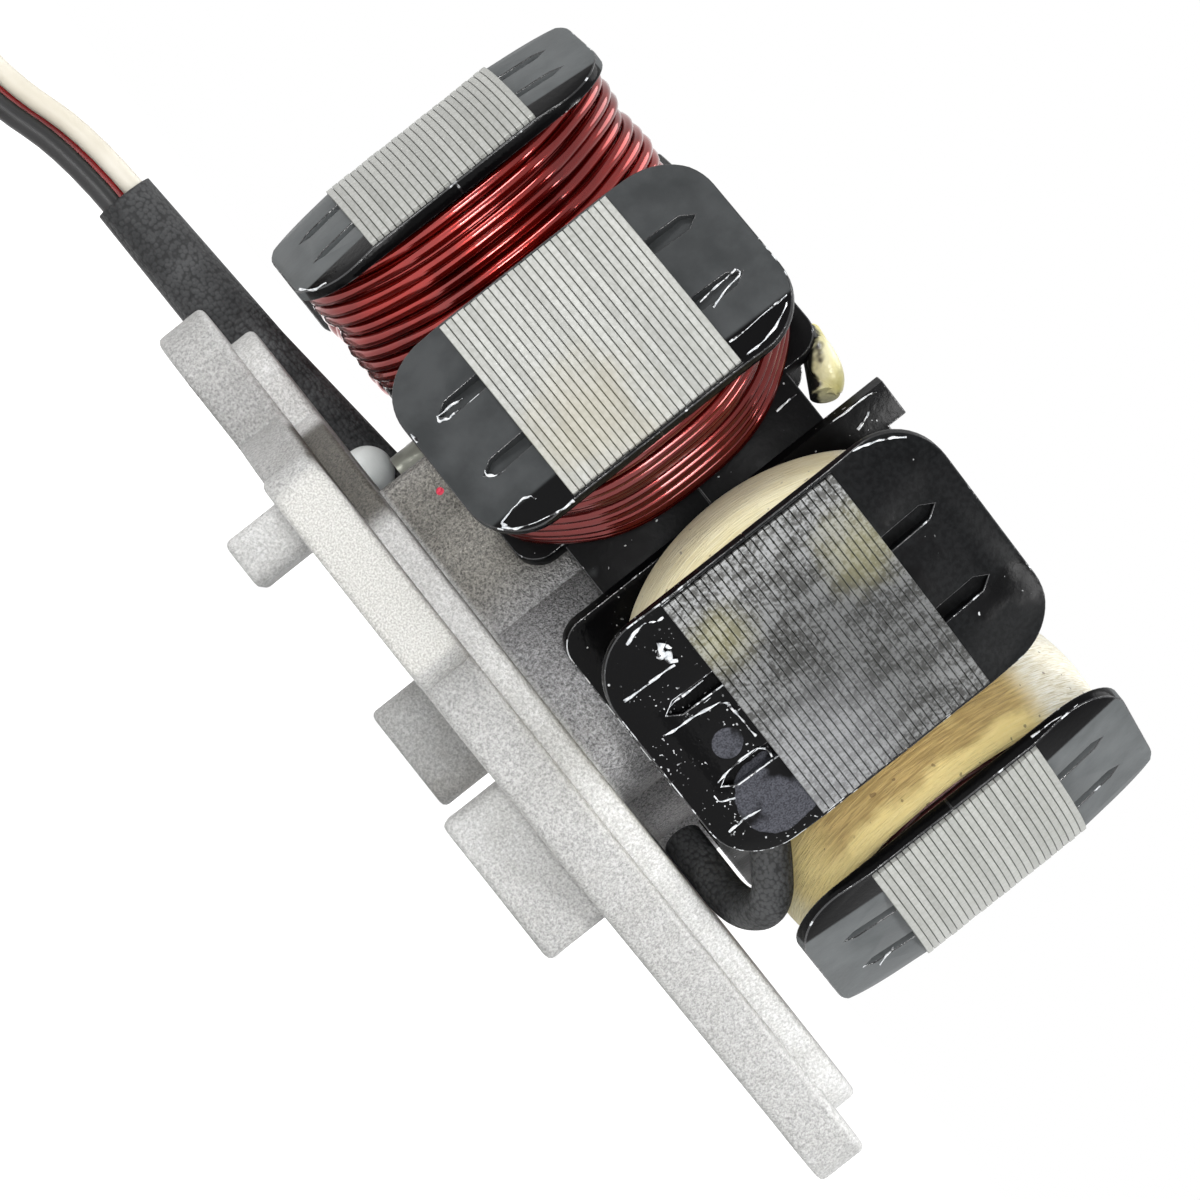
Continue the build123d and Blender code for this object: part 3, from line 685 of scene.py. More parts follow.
class DriedVarnish(Finish):
    """Varnish coloured pale as a painted highlight, standing in for the glint on a shining bead."""

    name = "dried_varnish"

    def dress(self) -> None:
        """Lay a broken pale bead, a painted highlight."""
        height = self.grain(2600.0)["Height"]
        pale = self.mix(height, (176, 180, 184), (240, 242, 244))
        self.set(Base_Color=self.mix(self.fleck(1150.0, 0.36, 0.44), (22, 22, 24), pale), Roughness=0.16,
                 Normal=self.bump(height, 0.03, 0.6))


class EnamelledWire(Finish):
    """Red enamel over copper."""

    name = "enamelled_copper"

    def dress(self) -> None:
        """Lay the enamel's slow change of tone, dark varnish in patches, and painted shade on the second
        coil.
        """
        red = self.mix(self.grain(1000.0)["Tone"], (104, 8, 4), (150, 24, 12))
        # Painted shade: the second coil's wire is darker, with a thinner coat, for the light that it does not
        # catch; the flecks are varnish patches.
        shaded_second_coil = self.sector(pole_deg(1), 24.0)
        soaked = self.fleck(260.0, 0.55, 0.7) * 0.4 | shaded_second_coil * 0.7
        self.set(Base_Color=self.mix(soaked, red, (70, 7, 5)), Metallic=0.7, Roughness=0.16,
                 Coat_Weight=shaded_second_coil.to(0.6, 0.4), Coat_Roughness=0.03)


class DarkWire(Finish):
    """Fine copper wire under dark varnish."""

    name = "varnished_winding"
    pitch = 0.42

    def dress(self) -> None:
        """Lay rows of fine wire under the varnish."""
        turns = self.math("ABSOLUTE", self.math("SINE", self.radius() * (math.pi / (self.pitch * MM))))
        red = self.mix(self.grain(900.0)["Tone"], (34, 14, 14), (92, 44, 44))
        self.set(Base_Color=self.mix(turns, (16, 8, 8), red), Metallic=0.3, Roughness=0.35, Coat_Weight=0.9,
                 Coat_Roughness=0.06, Normal=self.bump(turns, 0.12, 0.8))


class ClothTape(Finish):
    """Cream cloth tape, yellowed, with a brown stain where the varnish ran in."""

    name = "cloth_tape"

    def dress(self) -> None:
        """Lay fibres, yellowing, stain and specks."""
        cloth = self.effect("fibres", Vector=self.uv, Along=34.0, Across=46.0)
        strand, fuzz = cloth["Strand"], cloth["Fuzz"]
        tone = (strand + self.grain(900.0)["Tone"]) * 0.5
        cream = self.mix(tone, (226, 212, 158), (248, 241, 206))
        between = self.sector(47.0, 12.0, 4.0)
        yellow = self.mix(between * 0.75, cream, (244, 220, 140))
        loose = self.z.at(STACK_MIDDLE + 8.6, STACK_MIDDLE + 11.0)
        aged = self.mix(loose, yellow, self.mix(fuzz, (226, 218, 190), (250, 248, 236)))
        wave = self.noise(self.where, 330.0, 3.0).step(0.2, 0.8, -0.07, 0.07)
        depth = (self.add("SeparateXYZ", {"Vector": self.uv})["Y"] + wave).step(0.9, 0.76)
        run = depth * between * self.z.at(13.5, 18.0).less(loose)
        soak = self.mix(strand, (146, 120, 70), (192, 164, 106))
        stained = self.mix(run * self.fleck(150.0, 0.3, 0.5, 3.0) * 0.85, aged, soak)
        threads = fuzz.step(0.2, 0.0) * self.fleck(300.0, 0.52, 0.6, 1.0)
        marked = self.mix(threads * 0.25, stained, (132, 112, 70))
        specks = self.fleck(1900.0, 0.8, 0.84, 0.0)
        self.set(Base_Color=self.mix(specks * 0.6, marked, (86, 58, 30)), Roughness=0.8, Sheen_Weight=0.2,
                 Normal=self.bump(strand, 0.1, 0.6, self.bump(fuzz, 0.06, 0.5)))


class BraidedSleeve(Finish):
    """Black varnished braid of the lead sleeves."""

    name = "woven_sleeve"

    def dress(self) -> None:
        """Lay the braid's stitches over the sleeve."""
        stitch = self.add("TexVoronoi", {"Vector": self.where, "Scale": 2700.0, "Randomness": 0.8})
        grain = self.grain(1500.0)
        tone = self.mix(grain["Tone"], (52, 53, 54), (86, 87, 88))
        self.set(Base_Color=self.mix(stitch.step(0.42, 0.75) * 0.6, tone, (22, 22, 23)), Roughness=0.6,
                 Specular_IOR_Level=0.2,
                 Normal=self.bump(1.0 - stitch, 0.12, 0.8, self.bump(grain["Height"], 0.06, 0.6)))


class ResinDrop(Finish):
    """Yellowed resin that runs over the end of a black sleeve at the front."""

    name = "yellow_sleeve"
    run = (0.62, 0.0, 0.785)
    edge = 27.75
    wander = 0.5
    blur = 0.3

    def dress(self) -> None:
        """Lay the resin on one side, and the dark sleeve on the other."""
        grain = self.grain(1500.0)
        along = self.add("VectorMath", {0: self.where, 1: self.run}, operation="DOT_PRODUCT")["Value"]
        wave = self.noise(self.where, 700.0).step(0.3, 0.7, -self.wander * MM, self.wander * MM)
        over = along - self.edge * MM + wave
        yellow = self.mix(grain["Tone"], (206, 196, 112), (228, 224, 190))
        self.set(Base_Color=self.mix(over.at(-self.blur, self.blur), (26, 26, 24), yellow),
                 Roughness=0.28, Normal=self.bump(grain["Height"], 0.06, 0.5))


class PlainSkin(Finish):
    """A skin of one colour, with a faint mottle and relief. Each kind gives its own values."""

    colours: tuple[Colour, Colour]
    scale, rough, depth, strength = 1400.0, 0.4, 0.01, 0.4

    def dress(self) -> None:
        """Lay the mottle and its relief."""
        grain = self.grain(self.scale)
        self.set(Base_Color=self.mix(grain["Tone"], *self.colours), Roughness=self.rough,
                 Normal=self.bump(grain["Height"], self.depth, self.strength))


class BlackLeadSkin(PlainSkin):
    """Smooth insulation of the black lead."""

    name = "black_lead"
    colours = ((20, 20, 21), (34, 34, 36))


class RedLeadSkin(PlainSkin):
    """Smooth insulation of the red lead."""

    name = "red_lead"
    colours = ((140, 22, 24), (168, 32, 32))


class WhiteLeadSkin(PlainSkin):
    """Smooth insulation of the white lead."""

    name = "white_lead"
    colours = ((222, 216, 200), (238, 234, 222))


class Sealant(PlainSkin):
    """Cured white sealant with a little dirt."""

    name = "pale_sealant"
    colours = ((226, 232, 230), (246, 249, 248))
    scale, depth, strength = 900.0, 0.06, 0.5


class HousingPlastic(PlainSkin):
    """Matte black moulding of the connector."""

    name = "connector_plastic"
    colours = ((26, 26, 28), (44, 44, 47))
    scale, rough, depth, strength = 3000.0, 0.5, 0.015, 0.5


class PlatedSteel(Finish):
    """Zinc-plated screws."""

    name = "screw_steel"

    def dress(self) -> None:
        """Lay plating with faint handling marks."""
        grain = self.grain(1800.0)
        self.set(Base_Color=self.mix(grain["Tone"], (96, 97, 90), (128, 129, 120)), Metallic=0.8,
                 Roughness=grain["Height"].to(0.28, 0.45))


class FloorWhite(Finish):
    """A pale floor that shows as white."""

    name = "floor"
    strength = 0.9

    def dress(self) -> None:
        """Light the floor for what looks at it, and not for the object."""
        self.set(Base_Color=(0.85, 0.85, 0.85, 1.0), Roughness=0.9, Specular_IOR_Level=0.0,
                 Emission_Color=(1.0, 1.0, 1.0, 1.0), Emission_Strength=self.seen() * self.strength)


FINISHES = (CastAluminium, LaminationSteel, MouldedBlack, EnamelledWire, DarkWire, ClothTape, BraidedSleeve,
            WetEdge, DriedVarnish, ResinDrop, BlackLeadSkin, RedLeadSkin, WhiteLeadSkin, Sealant, PlatedSteel,
            HousingPlastic, FloorWhite)


@dataclass
class Workshop:
    """What every sub-assembly needs: the frame and the finishes."""

    frame: dict
    finishes: dict[str, Finish]

    @classmethod
    def opened(cls) -> "Workshop":
        """Load the frame and mix every finish."""
        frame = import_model()
        effects = build_effects()
        return cls(frame, {kind.name: kind(effects) for kind in FINISHES})

    def dress(self, piece: Object, *finishes: str) -> None:
        """Give a piece or node its finishes, the main one first."""
        piece.data.materials.clear()
        for finish in finishes:
            piece.data.materials.append(self.finishes[finish].material)

    def fit(self, piece: Object, finish: str, *nodes: str) -> None:
        """Seat a piece on the object, with its finish and the nodes that it stands for."""
        if not piece.data.materials:
            self.dress(piece, finish)
        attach(piece, "root")
        if nodes:
            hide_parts(*nodes)
        LOG.info("%s: %s, stands for %s", piece.name, finish, ", ".join(nodes) or "nothing")


@dataclass
class Part:
    """A sub-assembly that is built in the workshop."""

    shop: Workshop

    def build(self) -> None:
        """Make the sub-assembly's pieces."""
        raise NotImplementedError


@dataclass
class Studio(Part):
    """Camera, floor and light."""

    target: Place = (0.349, 0.0, 14.673)
    distance: float = 514.17
    elevation: float = -0.43
    roll: float = 51.64
    focal_pixels: float = 6571.35
    frame_pixels: float = 1200.0
    sensor: float = 36.0
    floor_size: float = 30.0
    floor_drop: float = 0.02
    room_light: float = 0.36

    def axes(self) -> tuple[Vector, Vector, Vector]:
        """The camera's right, up and back directions."""
        lift, roll = math.radians(self.elevation), math.radians(self.roll)
        back = Vector((0.0, -math.cos(lift), math.sin(lift)))
        level = Vector((1.0, 0.0, 0.0))
        over = back.cross(level)
        right = math.cos(roll) * level + math.sin(roll) * over
        return right, math.cos(roll) * over - math.sin(roll) * level, back

    def build_camera(self) -> None:
        """Stand the camera at the photograph's viewing angle."""
        axes = self.axes()
        data = bpy.data.cameras.new("camera")
        data.sensor_width = self.sensor
        data.lens = self.focal_pixels * self.sensor / self.frame_pixels
        data.clip_start, data.clip_end = 0.01, 20.0
        camera = linked("camera", data)
        spot = Matrix.Translation(vec(*self.target) + axes[2] * self.distance * MM)
        camera.matrix_world = spot @ Matrix(axes).transposed().to_4x4()
        bpy.context.scene.camera = camera

    def build_floor(self) -> None:
        """Lay a floor that reads as white."""
        place = vec(0.0, 0.0, FLOOR_Z - self.floor_drop)
        floor = added(bpy.ops.mesh.primitive_plane_add, size=self.floor_size, location=place)
        floor.name = "floor"
        self.shop.dress(floor, "floor")

    def build_room(self) -> None:
        """Put an even white room round the object."""
        world = bpy.data.worlds.new("room")
        bpy.context.scene.world = world
        world.use_nodes = True
        graph = Graph(world.node_tree)
        light = {"Color": (1.0, 1.0, 1.0, 1.0), "Strength": graph.seen().to(self.room_light, 1.0)}
        graph.feed(world.node_tree.nodes["Background"], light)

    def build_lamps(self) -> None:
        """Hang soft lamps round the object, each with its offset, size and power in metres and watts."""
        right, up, back = self.axes()
        lamps = (
            ("key", up * 0.58 + back * 0.42 - right * 0.32, 0.22, 2.7),
            ("fill", right * 0.62 + back * 0.3 - up * 0.25, 0.22, 3.6),
            ("front", Vector((-0.01, -0.75, 0.0)), 0.12, 1.9),
            ("eye", Vector((0.18, -0.73, 0.0)), 0.2, 1.3),
            ("top", Vector((0.0, 0.1, 0.7)), 0.5, 2.6),
        )
        for name, offset, size, power in lamps:
            data = bpy.data.lights.new(name, "AREA")
            data.shape = "DISK"
            data.size = size
            data.energy = power
            lamp = linked(name, data)
            lamp.location = vec(*self.target) + offset
            lamp.rotation_euler = (-offset).to_track_quat("-Z", "Y").to_euler()

    def build(self) -> None:
        """Set up the whole studio."""
        self.build_camera()
        self.build_floor()
        self.build_room()
        self.build_lamps()
        bpy.context.scene.view_settings.view_transform = "Standard"


@dataclass
class CastBase(Part):
    """The die-cast base plate with its neck, feet and ears."""

    edge: float = 0.55
    lip: Place = (-20.0, 6.0, 2.6)
    lip_reach: float = 0.15

    def has_room(self, middle: Vector) -> bool:
        """Whether an edge has room for its bevel: the lead channel's narrow lip has none."""
        corner = vec(*self.lip)
        level = abs(middle.z - corner.z) < self.lip_reach * MM
        return not (level and middle.y > corner.y and middle.x < corner.x)

    def build(self) -> None:
        """Round the casting's edges and dress it."""
        piece = cad_copy(self.shop.frame, "base_casting", "cast_base")
        round_corners(piece, self.edge, 40, 3, self.has_room)
        smooth(piece, 40)
        self.shop.fit(piece, "cast_aluminium", "base_casting")


@dataclass
class CoreStack(Part):
    """The core as its separate punched plates."""

    gap: float = 0.04
    edge: float = 0.05
    stagger: float = 0.03
    face_reach: float = 0.1
    seed: int = 4

    def plate(self) -> Object:
        """The lowest plate, cut from the core's back face."""
        piece = cad_copy(self.shop.frame, "core_laminations", "plate")
        with editing(piece, "FACE", "DESELECT"):
            pass
        for face in piece.data.polygons:
            back = face.normal.z < -0.99 and face.center.z < (STACK_BACK + self.face_reach) * MM
            face.select = not back
        rise = (0.0, 0.0, (PLATE_THICKNESS - self.gap) * MM)
        with editing(piece, "FACE", ""):
            bpy.ops.mesh.delete(type="FACE")
            bpy.ops.mesh.select_all(action="SELECT")
            bpy.ops.mesh.extrude_region_move(TRANSFORM_OT_translate={"value": rise})
            bpy.ops.mesh.select_all(action="SELECT")
            bpy.ops.mesh.normals_make_consistent(inside=False)
        apply_modifier(piece, "BEVEL", width=self.edge * MM, segments=1, limit_method="ANGLE",
                       angle_limit=math.radians(60))
        return piece

    def build(self) -> None:
        """Stack the plates, each a little out of line."""
        draw = random.Random(self.seed)
        plates = [self.plate()]
        for level in range(1, PLATE_COUNT):
            copy = linked("plate", plates[0].data.copy())
            copy.location = vec(*spread(draw, self.stagger, 2), level * PLATE_THICKNESS)
            plates.append(copy)
        core = joined("core_plates", plates)
        smooth(core, 30)
        self.shop.fit(core, "lamination_steel", "core_laminations")


@dataclass
class Insulator(Part):
    """One half of the black moulding."""

    way: Way
    edge: float = 0.09
    screw_seats: float = 22.9
    seat_reach: float = 0.02

    def has_room(self, middle: Vector) -> bool:
        """Whether an edge has room for its bevel: not on the core's faces, nor round the screw seats."""
        gap = min(abs(middle.z - face * MM) for face in (STACK_BACK, STACK_FRONT))
        return gap >= self.seat_reach * MM and math.hypot(middle.x, middle.y) > self.screw_seats * MM

    def build(self) -> None:
        """Round the moulding's edges and dress it."""
        node = f"insulator_{self.way.value}"
        piece = cad_copy(self.shop.frame, node, f"moulding_{self.way.value}")
        self.shop.dress(piece, "black_insulator", "black_insulator_edge")
        round_corners(piece, self.edge, 32, 2, self.has_room, 1)
        smooth(piece, 40)
        self.shop.fit(piece, "black_insulator", node)


@dataclass
class VarnishBeads(Part):
    """Beads of varnish along the moulding's slots, creases and rims, coloured pale as painted glints."""

    name: str
    routes: tuple[tuple[Place, ...], ...]
    radius: float
    seed: int
    shake: float = 0.05
    shares: tuple[float, ...] = (0.0, 0.33, 0.67)
    swells: tuple[float, ...] = (0.4, 0.7, 1.0, 1.3, 1.9)

    def build(self) -> None:
        """Lay the beads and join them."""
        draw = random.Random(self.seed)
        beads = []
        for number, route in enumerate(self.routes):
            places = [vec(*point) for point in route]
            fine = []
            for first, last in zip(places, places[1:]):
                for share in self.shares:
                    fine.append(first.lerp(last, share) + vec(*spread(draw, self.shake, 3)))
            fine.append(places[-1])
            bead = smooth_curve(f"bead_{number}", fine, self.radius, 1, 3)
            for point in bead.data.splines[0].points:
                point.radius = draw.choice(self.swells)
            beads.append(as_mesh(bead))
        whole = joined(f"varnish_{self.name}", beads)
        smooth(whole, 60)
        self.shop.dress(whole, "dried_varnish")
        self.shop.fit(whole, "black_insulator")


# Routes of the varnish beads, which carry painted highlights, in millimetres.
BACK_BEADS = (
    ((-17.6, -32.4, 13.4), (-17.2, -32.6, 13.3), (-16.9, -32.8, 14.0), (-17.0, -32.7, 14.9)),
    ((-17.6, -32.4, 13.5), (-17.6, -32.5, 14.7), (-17.5, -32.6, 15.7)),
    ((-12.3, -34.8, 13.7), (-11.9, -34.9, 13.6), (-11.5, -35.2, 14.0), (-11.4, -35.3, 14.9)),
    ((-8.3, -36.6, 15.3), (-8.7, -36.5, 15.2), (-8.9, -36.4, 14.6), (-8.8, -36.3, 13.6), (-8.5, -36.2, 12.2),
     (-8.1, -36.3, 12.5)),
    ((-8.2, -36.3, 12.1), (-7.5, -36.5, 12.8), (-6.9, -36.8, 14.3), (-6.5, -37.0, 16.1), (-6.5, -37.2, 17.4)),
    ((-17.8, -32.1, 11.1), (-17.0, -32.4, 11.1)),
    ((9.6, -35.5, 16.7), (9.5, -35.4, 14.6), (9.6, -35.2, 13.1), (9.9, -35.1, 12.6), (10.5, -34.9, 12.6),
     (10.8, -34.9, 13.1), (10.9, -35.0, 14.6), (10.9, -35.2, 16.3)),
    ((11.0, -34.8, 11.9), (11.1, -34.8, 12.6), (11.3, -35.0, 14.6), (11.6, -35.1, 16.5), (12.0, -35.1, 17.0),
     (12.9, -34.8, 17.1), (14.1, -34.3, 17.1), (15.2, -33.9, 17.2)),
    ((7.4, -36.6, 15.7), (7.3, -36.5, 14.1), (7.3, -36.3, 12.1), (7.2, -36.2, 11.2)),
    ((4.2, -37.5, 17.2), (4.1, -37.4, 16.6), (3.7, -37.4, 15.8), (3.8, -37.3, 14.8), (4.1, -37.2, 13.9)),
    ((17.2, -33.1, 17.2), (16.4, -33.4, 17.2), (15.9, -33.4, 16.6), (15.9, -33.2, 14.8), (16.0, -33.1, 13.8),
     (16.2, -32.9, 12.9)),
    ((16.8, -32.6, 12.1), (17.4, -32.3, 12.1), (17.9, -32.3, 13.2)),
    ((19.7, -31.6, 14.2), (19.5, -31.6, 12.7), (19.6, -31.4, 11.3)),
    ((35.6, -10.1, 14.1), (35.3, -10.9, 14.9), (35.1, -11.4, 15.7)),
    ((-32.0, -18.6, 11.3), (-31.2, -20.2, 12.2), (-31.1, -20.6, 13.2)),
)
FRONT_BEADS = (
    ((-12.45, -34.65, 37.2), (-12.05, -34.85, 37.3), (-11.85, -34.95, 37.0), (-11.75, -35.15, 36.1),
     (-11.55, -35.35, 35.1), (-11.25, -35.55, 34.1)),
    ((-12.45, -34.65, 37.2), (-12.35, -34.85, 36.2), (-12.25, -35.05, 34.7), (-12.15, -35.25, 33.6)),
    ((-8.6, -36.1, 38.9), (-8.6, -36.3, 37.4), (-8.5, -36.6, 34.9), (-8.5, -36.8, 33.4)),
    ((-8.2, -36.3, 38.5), (-7.9, -36.4, 38.0), (-7.4, -36.6, 37.0), (-7.1, -36.8, 35.9), (-7.0, -36.9, 34.7),
     (-7.0, -37.0, 33.8)),
    ((28.3, -24.0, 33.4), (28.4, -24.1, 35.2), (28.6, -24.0, 36.9), (28.6, -23.8, 37.6)),
    ((-2.5, -24.1, 33.6), (-2.6, -24.1, 34.6), (-2.6, -24.0, 35.5)),
    ((0.7, -25.7, 36.0), (0.7, -25.7, 37.8), (0.8, -25.7, 39.7), (1.0, -25.6, 40.2)),
    ((3.3, -37.4, 35.5), (3.5, -37.3, 36.6), (3.8, -37.2, 37.5), (4.3, -37.0, 38.4), (4.9, -36.9, 39.2)),
    ((1.8, -25.3, 38.8), (2.1, -25.2, 38.2), (2.3, -25.1, 37.4)),
)
# A splash of varnish beads where a bright glint shows, coloured as a painted highlight.
SPLASH = (
    ((5.6, -37.35, 15.9), (6.2, -37.25, 15.3), (6.5, -37.2, 15.9), (6.9, -37.05, 15.5), (7.3, -37.0, 16.1)),
    ((5.9, -37.3, 16.1), (6.3, -37.2, 16.3)),
)


@dataclass
class ResinBlob(Part):
    """The yellowed resin over the end of the front wire sleeve."""

    centre: Place = (-2.75, -23.2, 38.55)
    reach: float = 2.45
    radius: float = 1.2
    squash: float = 0.9
    cut: float = 0.82
    edge: float = 0.12
    lean: float = 113.0
    seed: int = 3

    def build(self) -> None:
        """Shape the blob, with its lower end cut flat."""
        draw = random.Random(self.seed)
        blob = added(bpy.ops.mesh.primitive_uv_sphere_add, segments=28, ring_count=18, radius=1.0)
        with editing(blob):
            bpy.ops.transform.resize(value=vec(self.radius, self.radius * self.squash, self.reach))
            bpy.ops.mesh.select_all(action="SELECT")
            bpy.ops.mesh.bisect(plane_co=vec(0.0, 0.0, self.cut * self.reach), plane_no=(0.25, 0.0, 1.0),
                                clear_outer=True, use_fill=True)
        waves = [draw.uniform(0.0, 6.0) for _ in range(2)]
        for point in blob.data.vertices:
            turn = math.atan2(point.co.y, point.co.x)
            along = point.co.z / (self.reach * MM)
            lobes = 0.07 * math.sin(3 * turn + waves[0])
            swell = 1.0 + lobes + 0.09 * math.sin(2.5 * along + waves[1] + turn)
            point.co.x *= swell
            point.co.y *= swell
        apply_modifier(blob, "BEVEL", width=self.edge * MM, segments=2, limit_method="ANGLE",
                       angle_limit=math.radians(50), use_clamp_overlap=False)
        blob.rotation_euler = (0.0, math.radians(self.lean), 0.0)
        blob.location = vec(*self.centre)
        blob = joined("resin_blob", [blob])
        smooth(blob, 45)
        self.shop.fit(blob, "yellow_sleeve")


@dataclass
class ChargingCoil(Part):
    """Turns of enamelled wire round one pole, in two bands."""

    pole: int
    number: int
    wire: float = 0.52
    near: float = 24.877
    pitch: float = 1.114
    half_width: float = 9.0
    half_length: float = 13.73
    valley: float = 0.9
    lean: float = 0.22
    shift: float = 0.06
    rise: float = 0.05
    swells: tuple[float, ...] = (0.05, 0.3, 0.4, 0.35, 0.2, -0.1, 0.3, 0.45, 0.4, 0.1)
    seed: int = 20

    def turn(self, step: float, swell: float, draw: random.Random, fine: int) -> Object:
        """One closed turn of wire.

        Args:
            step: Its place along the pole, in pitches.
            swell: How far it stands out from the coil's plain size.
            draw: The source of small irregularities.
            fine: The curve's resolution.

        Returns:
            A mesh object.
        """
        turn = added(bpy.ops.curve.primitive_bezier_circle_add, radius=1.0)
        out = swell - self.wire
        reach = (self.half_width + out) * MM
        bpy.ops.object.mode_set(mode="EDIT")
        bpy.ops.curve.select_all(action="SELECT")
        bpy.ops.curve.subdivide(number_cuts=1)
        bpy.ops.transform.resize(value=(reach, (self.half_length + out) * MM, 1.0))
        bpy.ops.object.mode_set(mode="OBJECT")
        lean = draw.uniform(-self.lean, self.lean)
        for point in turn.data.splines[0].bezier_points:
            side = point.co.x / reach
            shift = vec(*spread(draw, self.shift, 2), lean * side + draw.uniform(-self.rise, self.rise))
            point.co += shift
            point.handle_left += shift
            point.handle_right += shift
        turn.data.dimensions = "3D"
        turn.data.bevel_depth = self.wire * MM
        turn.data.bevel_resolution = 3
        turn.data.resolution_u = fine
        turn.matrix_world = coil_plane(self.pole, self.near + step * self.pitch)
        return as_mesh(turn)

    def build(self) -> None:
        """Wind the outer layer and the layer that shows in its valleys."""
        draw = random.Random(self.seed + self.pole)
        turns = [self.turn(step, swell, draw, 10) for step, swell in enumerate(self.swells)]
        for step, pair in enumerate(zip(self.swells, self.swells[1:])):
            turns.append(self.turn(step + 0.5, min(pair) - self.valley, draw, 6))
        coil = joined(f"wire_turns_{self.number}", turns)
        smooth(coil, 60)
        self.shop.fit(coil, "enamelled_copper", f"charging_coil_{self.number}")


@dataclass
class IgnitionCoil(Part):
    """A fine winding under cloth tape round one wide pole."""

    pole: int
    number: int
    near: float = 24.32
    far: float = 34.125
    half_width: float = 8.8
    half_length: float = 12.73
    bulge: tuple[tuple[float, float], ...] = (
        (0.0, 0.35), (0.05, 0.75), (0.16, 1.05), (0.3, 1.3), (0.45, 1.45), (0.6, 1.42), (0.75, 1.35),
        (0.88, 1.1), (0.96, 0.8), (1.0, 0.4),
    )
    around: int = 120
    cloth: float = 0.3
    ridge: float = 0.12
    seed: int = 60

    @property
    def span(self) -> float:
        """The tape's width along the pole, in metres."""
        return (self.far - self.near) * MM

    def share(self, place: Vector) -> float:
        """How far round the coil a place lies, from 0 to 1."""
        return math.atan2(place.y / self.half_length, place.x / self.half_width) / (2 * math.pi) % 1.0

    def band(self) -> Object:
        """The bulging band of the tape, still flat at its edges and without thickness."""
        tape = added(bpy.ops.mesh.primitive_circle_add, vertices=self.around, radius=1.0, fill_type="NOTHING",
                     calc_uvs=False)
        sizes = [(self.half_width + out, self.half_length + out) for _, out in self.bulge]
        rises = [share * self.span for share, _ in self.bulge]
        with editing(tape):
            bpy.ops.transform.resize(value=(sizes[0][0] * MM, sizes[0][1] * MM, 1.0))
            for step, (size, wanted) in enumerate(zip(sizes, sizes[1:])):
                rise = (0.0, 0.0, rises[step + 1] - rises[step])
                bpy.ops.mesh.extrude_region_move(TRANSFORM_OT_translate={"value": rise})
                bpy.ops.transform.resize(value=(wanted[0] / size[0], wanted[1] / size[1], 1.0))
        return tape

    def unwrap(self, tape: Object) -> None:
        """Give the band a UV map: round the coil, and along the pole."""
        layer = tape.data.uv_layers.new(name="wrap")
        for face in tape.data.polygons:
            for corner in face.loop_indices:
                point = tape.data.vertices[tape.data.loops[corner].vertex_index].co
                turn = self.share(point)
                if self.share(face.center) > 0.75 and turn < 0.25:
                    turn += 1.0
                layer.data[corner].uv = (turn, point.z / self.span)

    def ruffle(self, tape: Object) -> None:
        """Lay shallow ridges round the band, most at its middle."""
        draw = random.Random(self.seed + self.number)
        ridges = spread(draw, self.ridge, 6)
        for point in tape.data.vertices:
            turn = math.atan2(point.co.y, point.co.x)
            wave = sum(r * math.sin((k + 2) * turn + 5.0 * r) for k, r in enumerate(ridges)) * 0.4
            out = Vector((point.co.x, point.co.y, 0.0)).normalized()
            point.co += out * wave * MM * (0.3 + 0.7 * math.sin(math.pi * min(1.0, point.co.z / self.span)))

    def build(self) -> None:
        """Wrap the tape, and dress the winding beneath it."""
        tape = self.band()
        self.unwrap(tape)
        self.ruffle(tape)
        apply_modifier(tape, "SOLIDIFY", thickness=self.cloth * MM, offset=-1.0)
        apply_modifier(tape, "SUBSURF", levels=1, render_levels=1)
        tape.matrix_world = coil_plane(self.pole, self.near)
        tape = joined(f"cloth_wrap_{self.number}", [tape])
        smooth(tape, 60)
        self.shop.fit(tape, "cloth_tape", f"tape_wrap_{self.number}")
        self.shop.dress(self.shop.frame["nodes"][f"ignition_winding_{self.number}"], "varnished_winding")


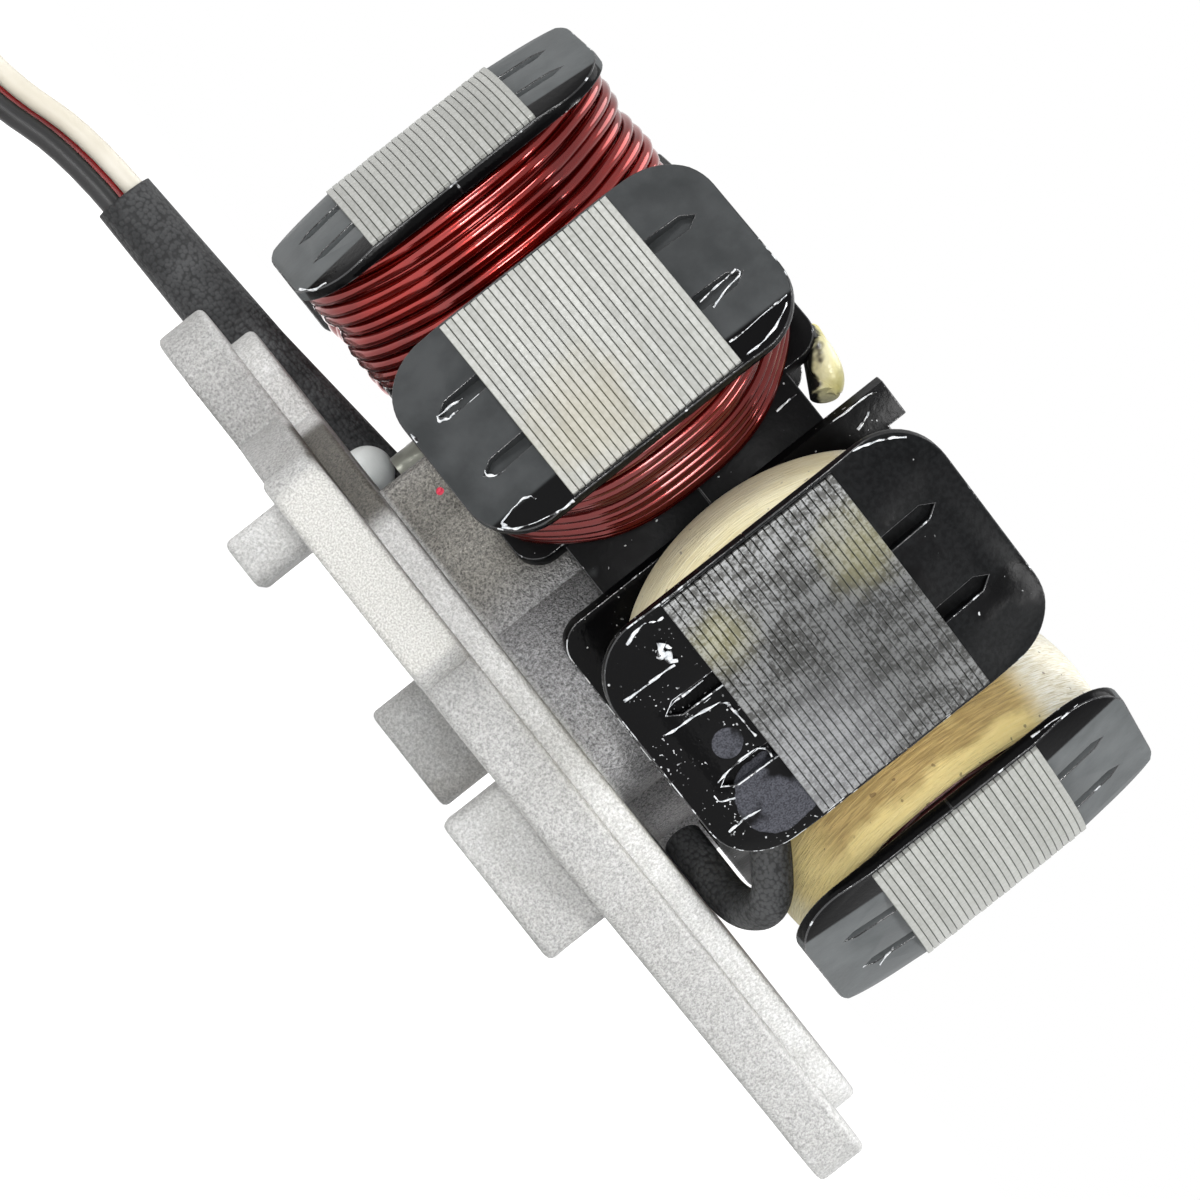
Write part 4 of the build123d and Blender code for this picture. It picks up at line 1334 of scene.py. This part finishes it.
@dataclass
class Lead(Part):
    """One lead: out of the sleeve, down and into its turns of the put-away coil."""

    name: str
    across: float
    up: float
    place_in_stack: int
    radius: float = 0.9
    pitch: float = 1.85
    turns: int = 4
    inner: float = 8.0
    points_per_turn: int = 16
    centre: tuple[float, float] = (-74.8, 1.2)
    mouth: Place = (-48.3, 9.2, 4.9)
    steps: tuple[float, ...] = (3.0, -5.0, -13.3, -21.5)
    over_coil: float = 2.1
    connector_x: float = -96.3
    settle: float = 0.55
    start: float = 0.1
    length: float = 336.0

    def points(self) -> list[Vector]:
        """The lead's control points in metres, from the sleeve's mouth to the connector."""
        x, y, z = self.mouth
        levels = (z, z, self.over_coil, self.over_coil)
        route = [vec(x + step, y + self.across, level + self.up) for step, level in zip(self.steps, levels)]
        level = FLOOR_Z + self.radius + self.place_in_stack * self.pitch
        for k in range(self.turns * self.points_per_turn + 1):
            share = k / self.points_per_turn
            angle = math.pi / 2 + 2 * math.pi * share
            early = max(0.0, 1.0 - share / self.settle)
            wound = max(0.0, share - self.start) * self.turns / (self.turns - self.start)
            radius = self.inner + self.pitch * wound
            radius += self.across * early
            fall = early * early * (3 - 2 * early)
            height = level + (self.over_coil + self.up - level) * fall
            route.append(vec(self.centre[0] + radius * math.cos(angle),
                             self.centre[1] + radius * math.sin(angle), height))
        end_y = self.centre[1] + self.inner + self.turns * self.pitch
        for share in (0.3, 0.65, 1.0):
            along = self.centre[0] + (self.connector_x - self.centre[0]) * share
            route.append(vec(along, end_y, level))
        return route

    def build(self) -> None:
        route = self.points()
        lead = smooth_curve(f"lead_{self.name}_cable", route, self.radius, 5)
        self.shop.fit(lead, f"{self.name}_lead", f"lead_{self.name}")
        2 * self.radius * MM


@dataclass
class Fittings(Part):
    """The nodes that show as they are, each with its finish."""

    finishes: tuple[tuple[str, str], ...] = (
        ("lead_connector", "connector_plastic"), ("lead_sleeve", "woven_sleeve"),
        ("loop_sleeve", "woven_sleeve"), ("lead_seal", "pale_sealant"),
        ("front_wire_sleeve", "yellow_sleeve"), ("core_screws", "screw_steel"),
    )

    def build(self) -> None:
        """Dress each node."""
        for node, finish in self.finishes:
            self.shop.dress(self.shop.frame["nodes"][node], finish)
            LOG.info("%s: %s, as it is", node, finish)


def main() -> None:
    """Build the stator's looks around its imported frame."""
    logging.basicConfig(level=logging.INFO, format="%(name)s %(message)s")
    shop = Workshop.opened()
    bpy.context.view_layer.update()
    charging = [pole for pole in range(POLE_COUNT) if pole not in IGNITION_POLES]
    parts = [
        Studio(shop),
        Fittings(shop),
        Lead(shop, "black", -0.5, -1.05, 0),
        Lead(shop, "red", 1.17, -0.1, 1),
        Lead(shop, "white", -0.25, 1.15, 2),
        CastBase(shop),
        CoreStack(shop),
        *(Insulator(shop, way) for way in Way),
        VarnishBeads(shop, "back", BACK_BEADS, 0.075, 11),
        VarnishBeads(shop, "front", FRONT_BEADS, 0.065, 12),
        VarnishBeads(shop, "splash", SPLASH, 0.2, 13),
        ResinBlob(shop),
        *(ChargingCoil(shop, pole, number) for number, pole in enumerate(charging, 1)),
        *(IgnitionCoil(shop, pole, number) for number, pole in enumerate(IGNITION_POLES, 1)),
    ]
    for part in parts:
        part.build()
    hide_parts("lead_coil")


if __name__ == "__main__":
    main()
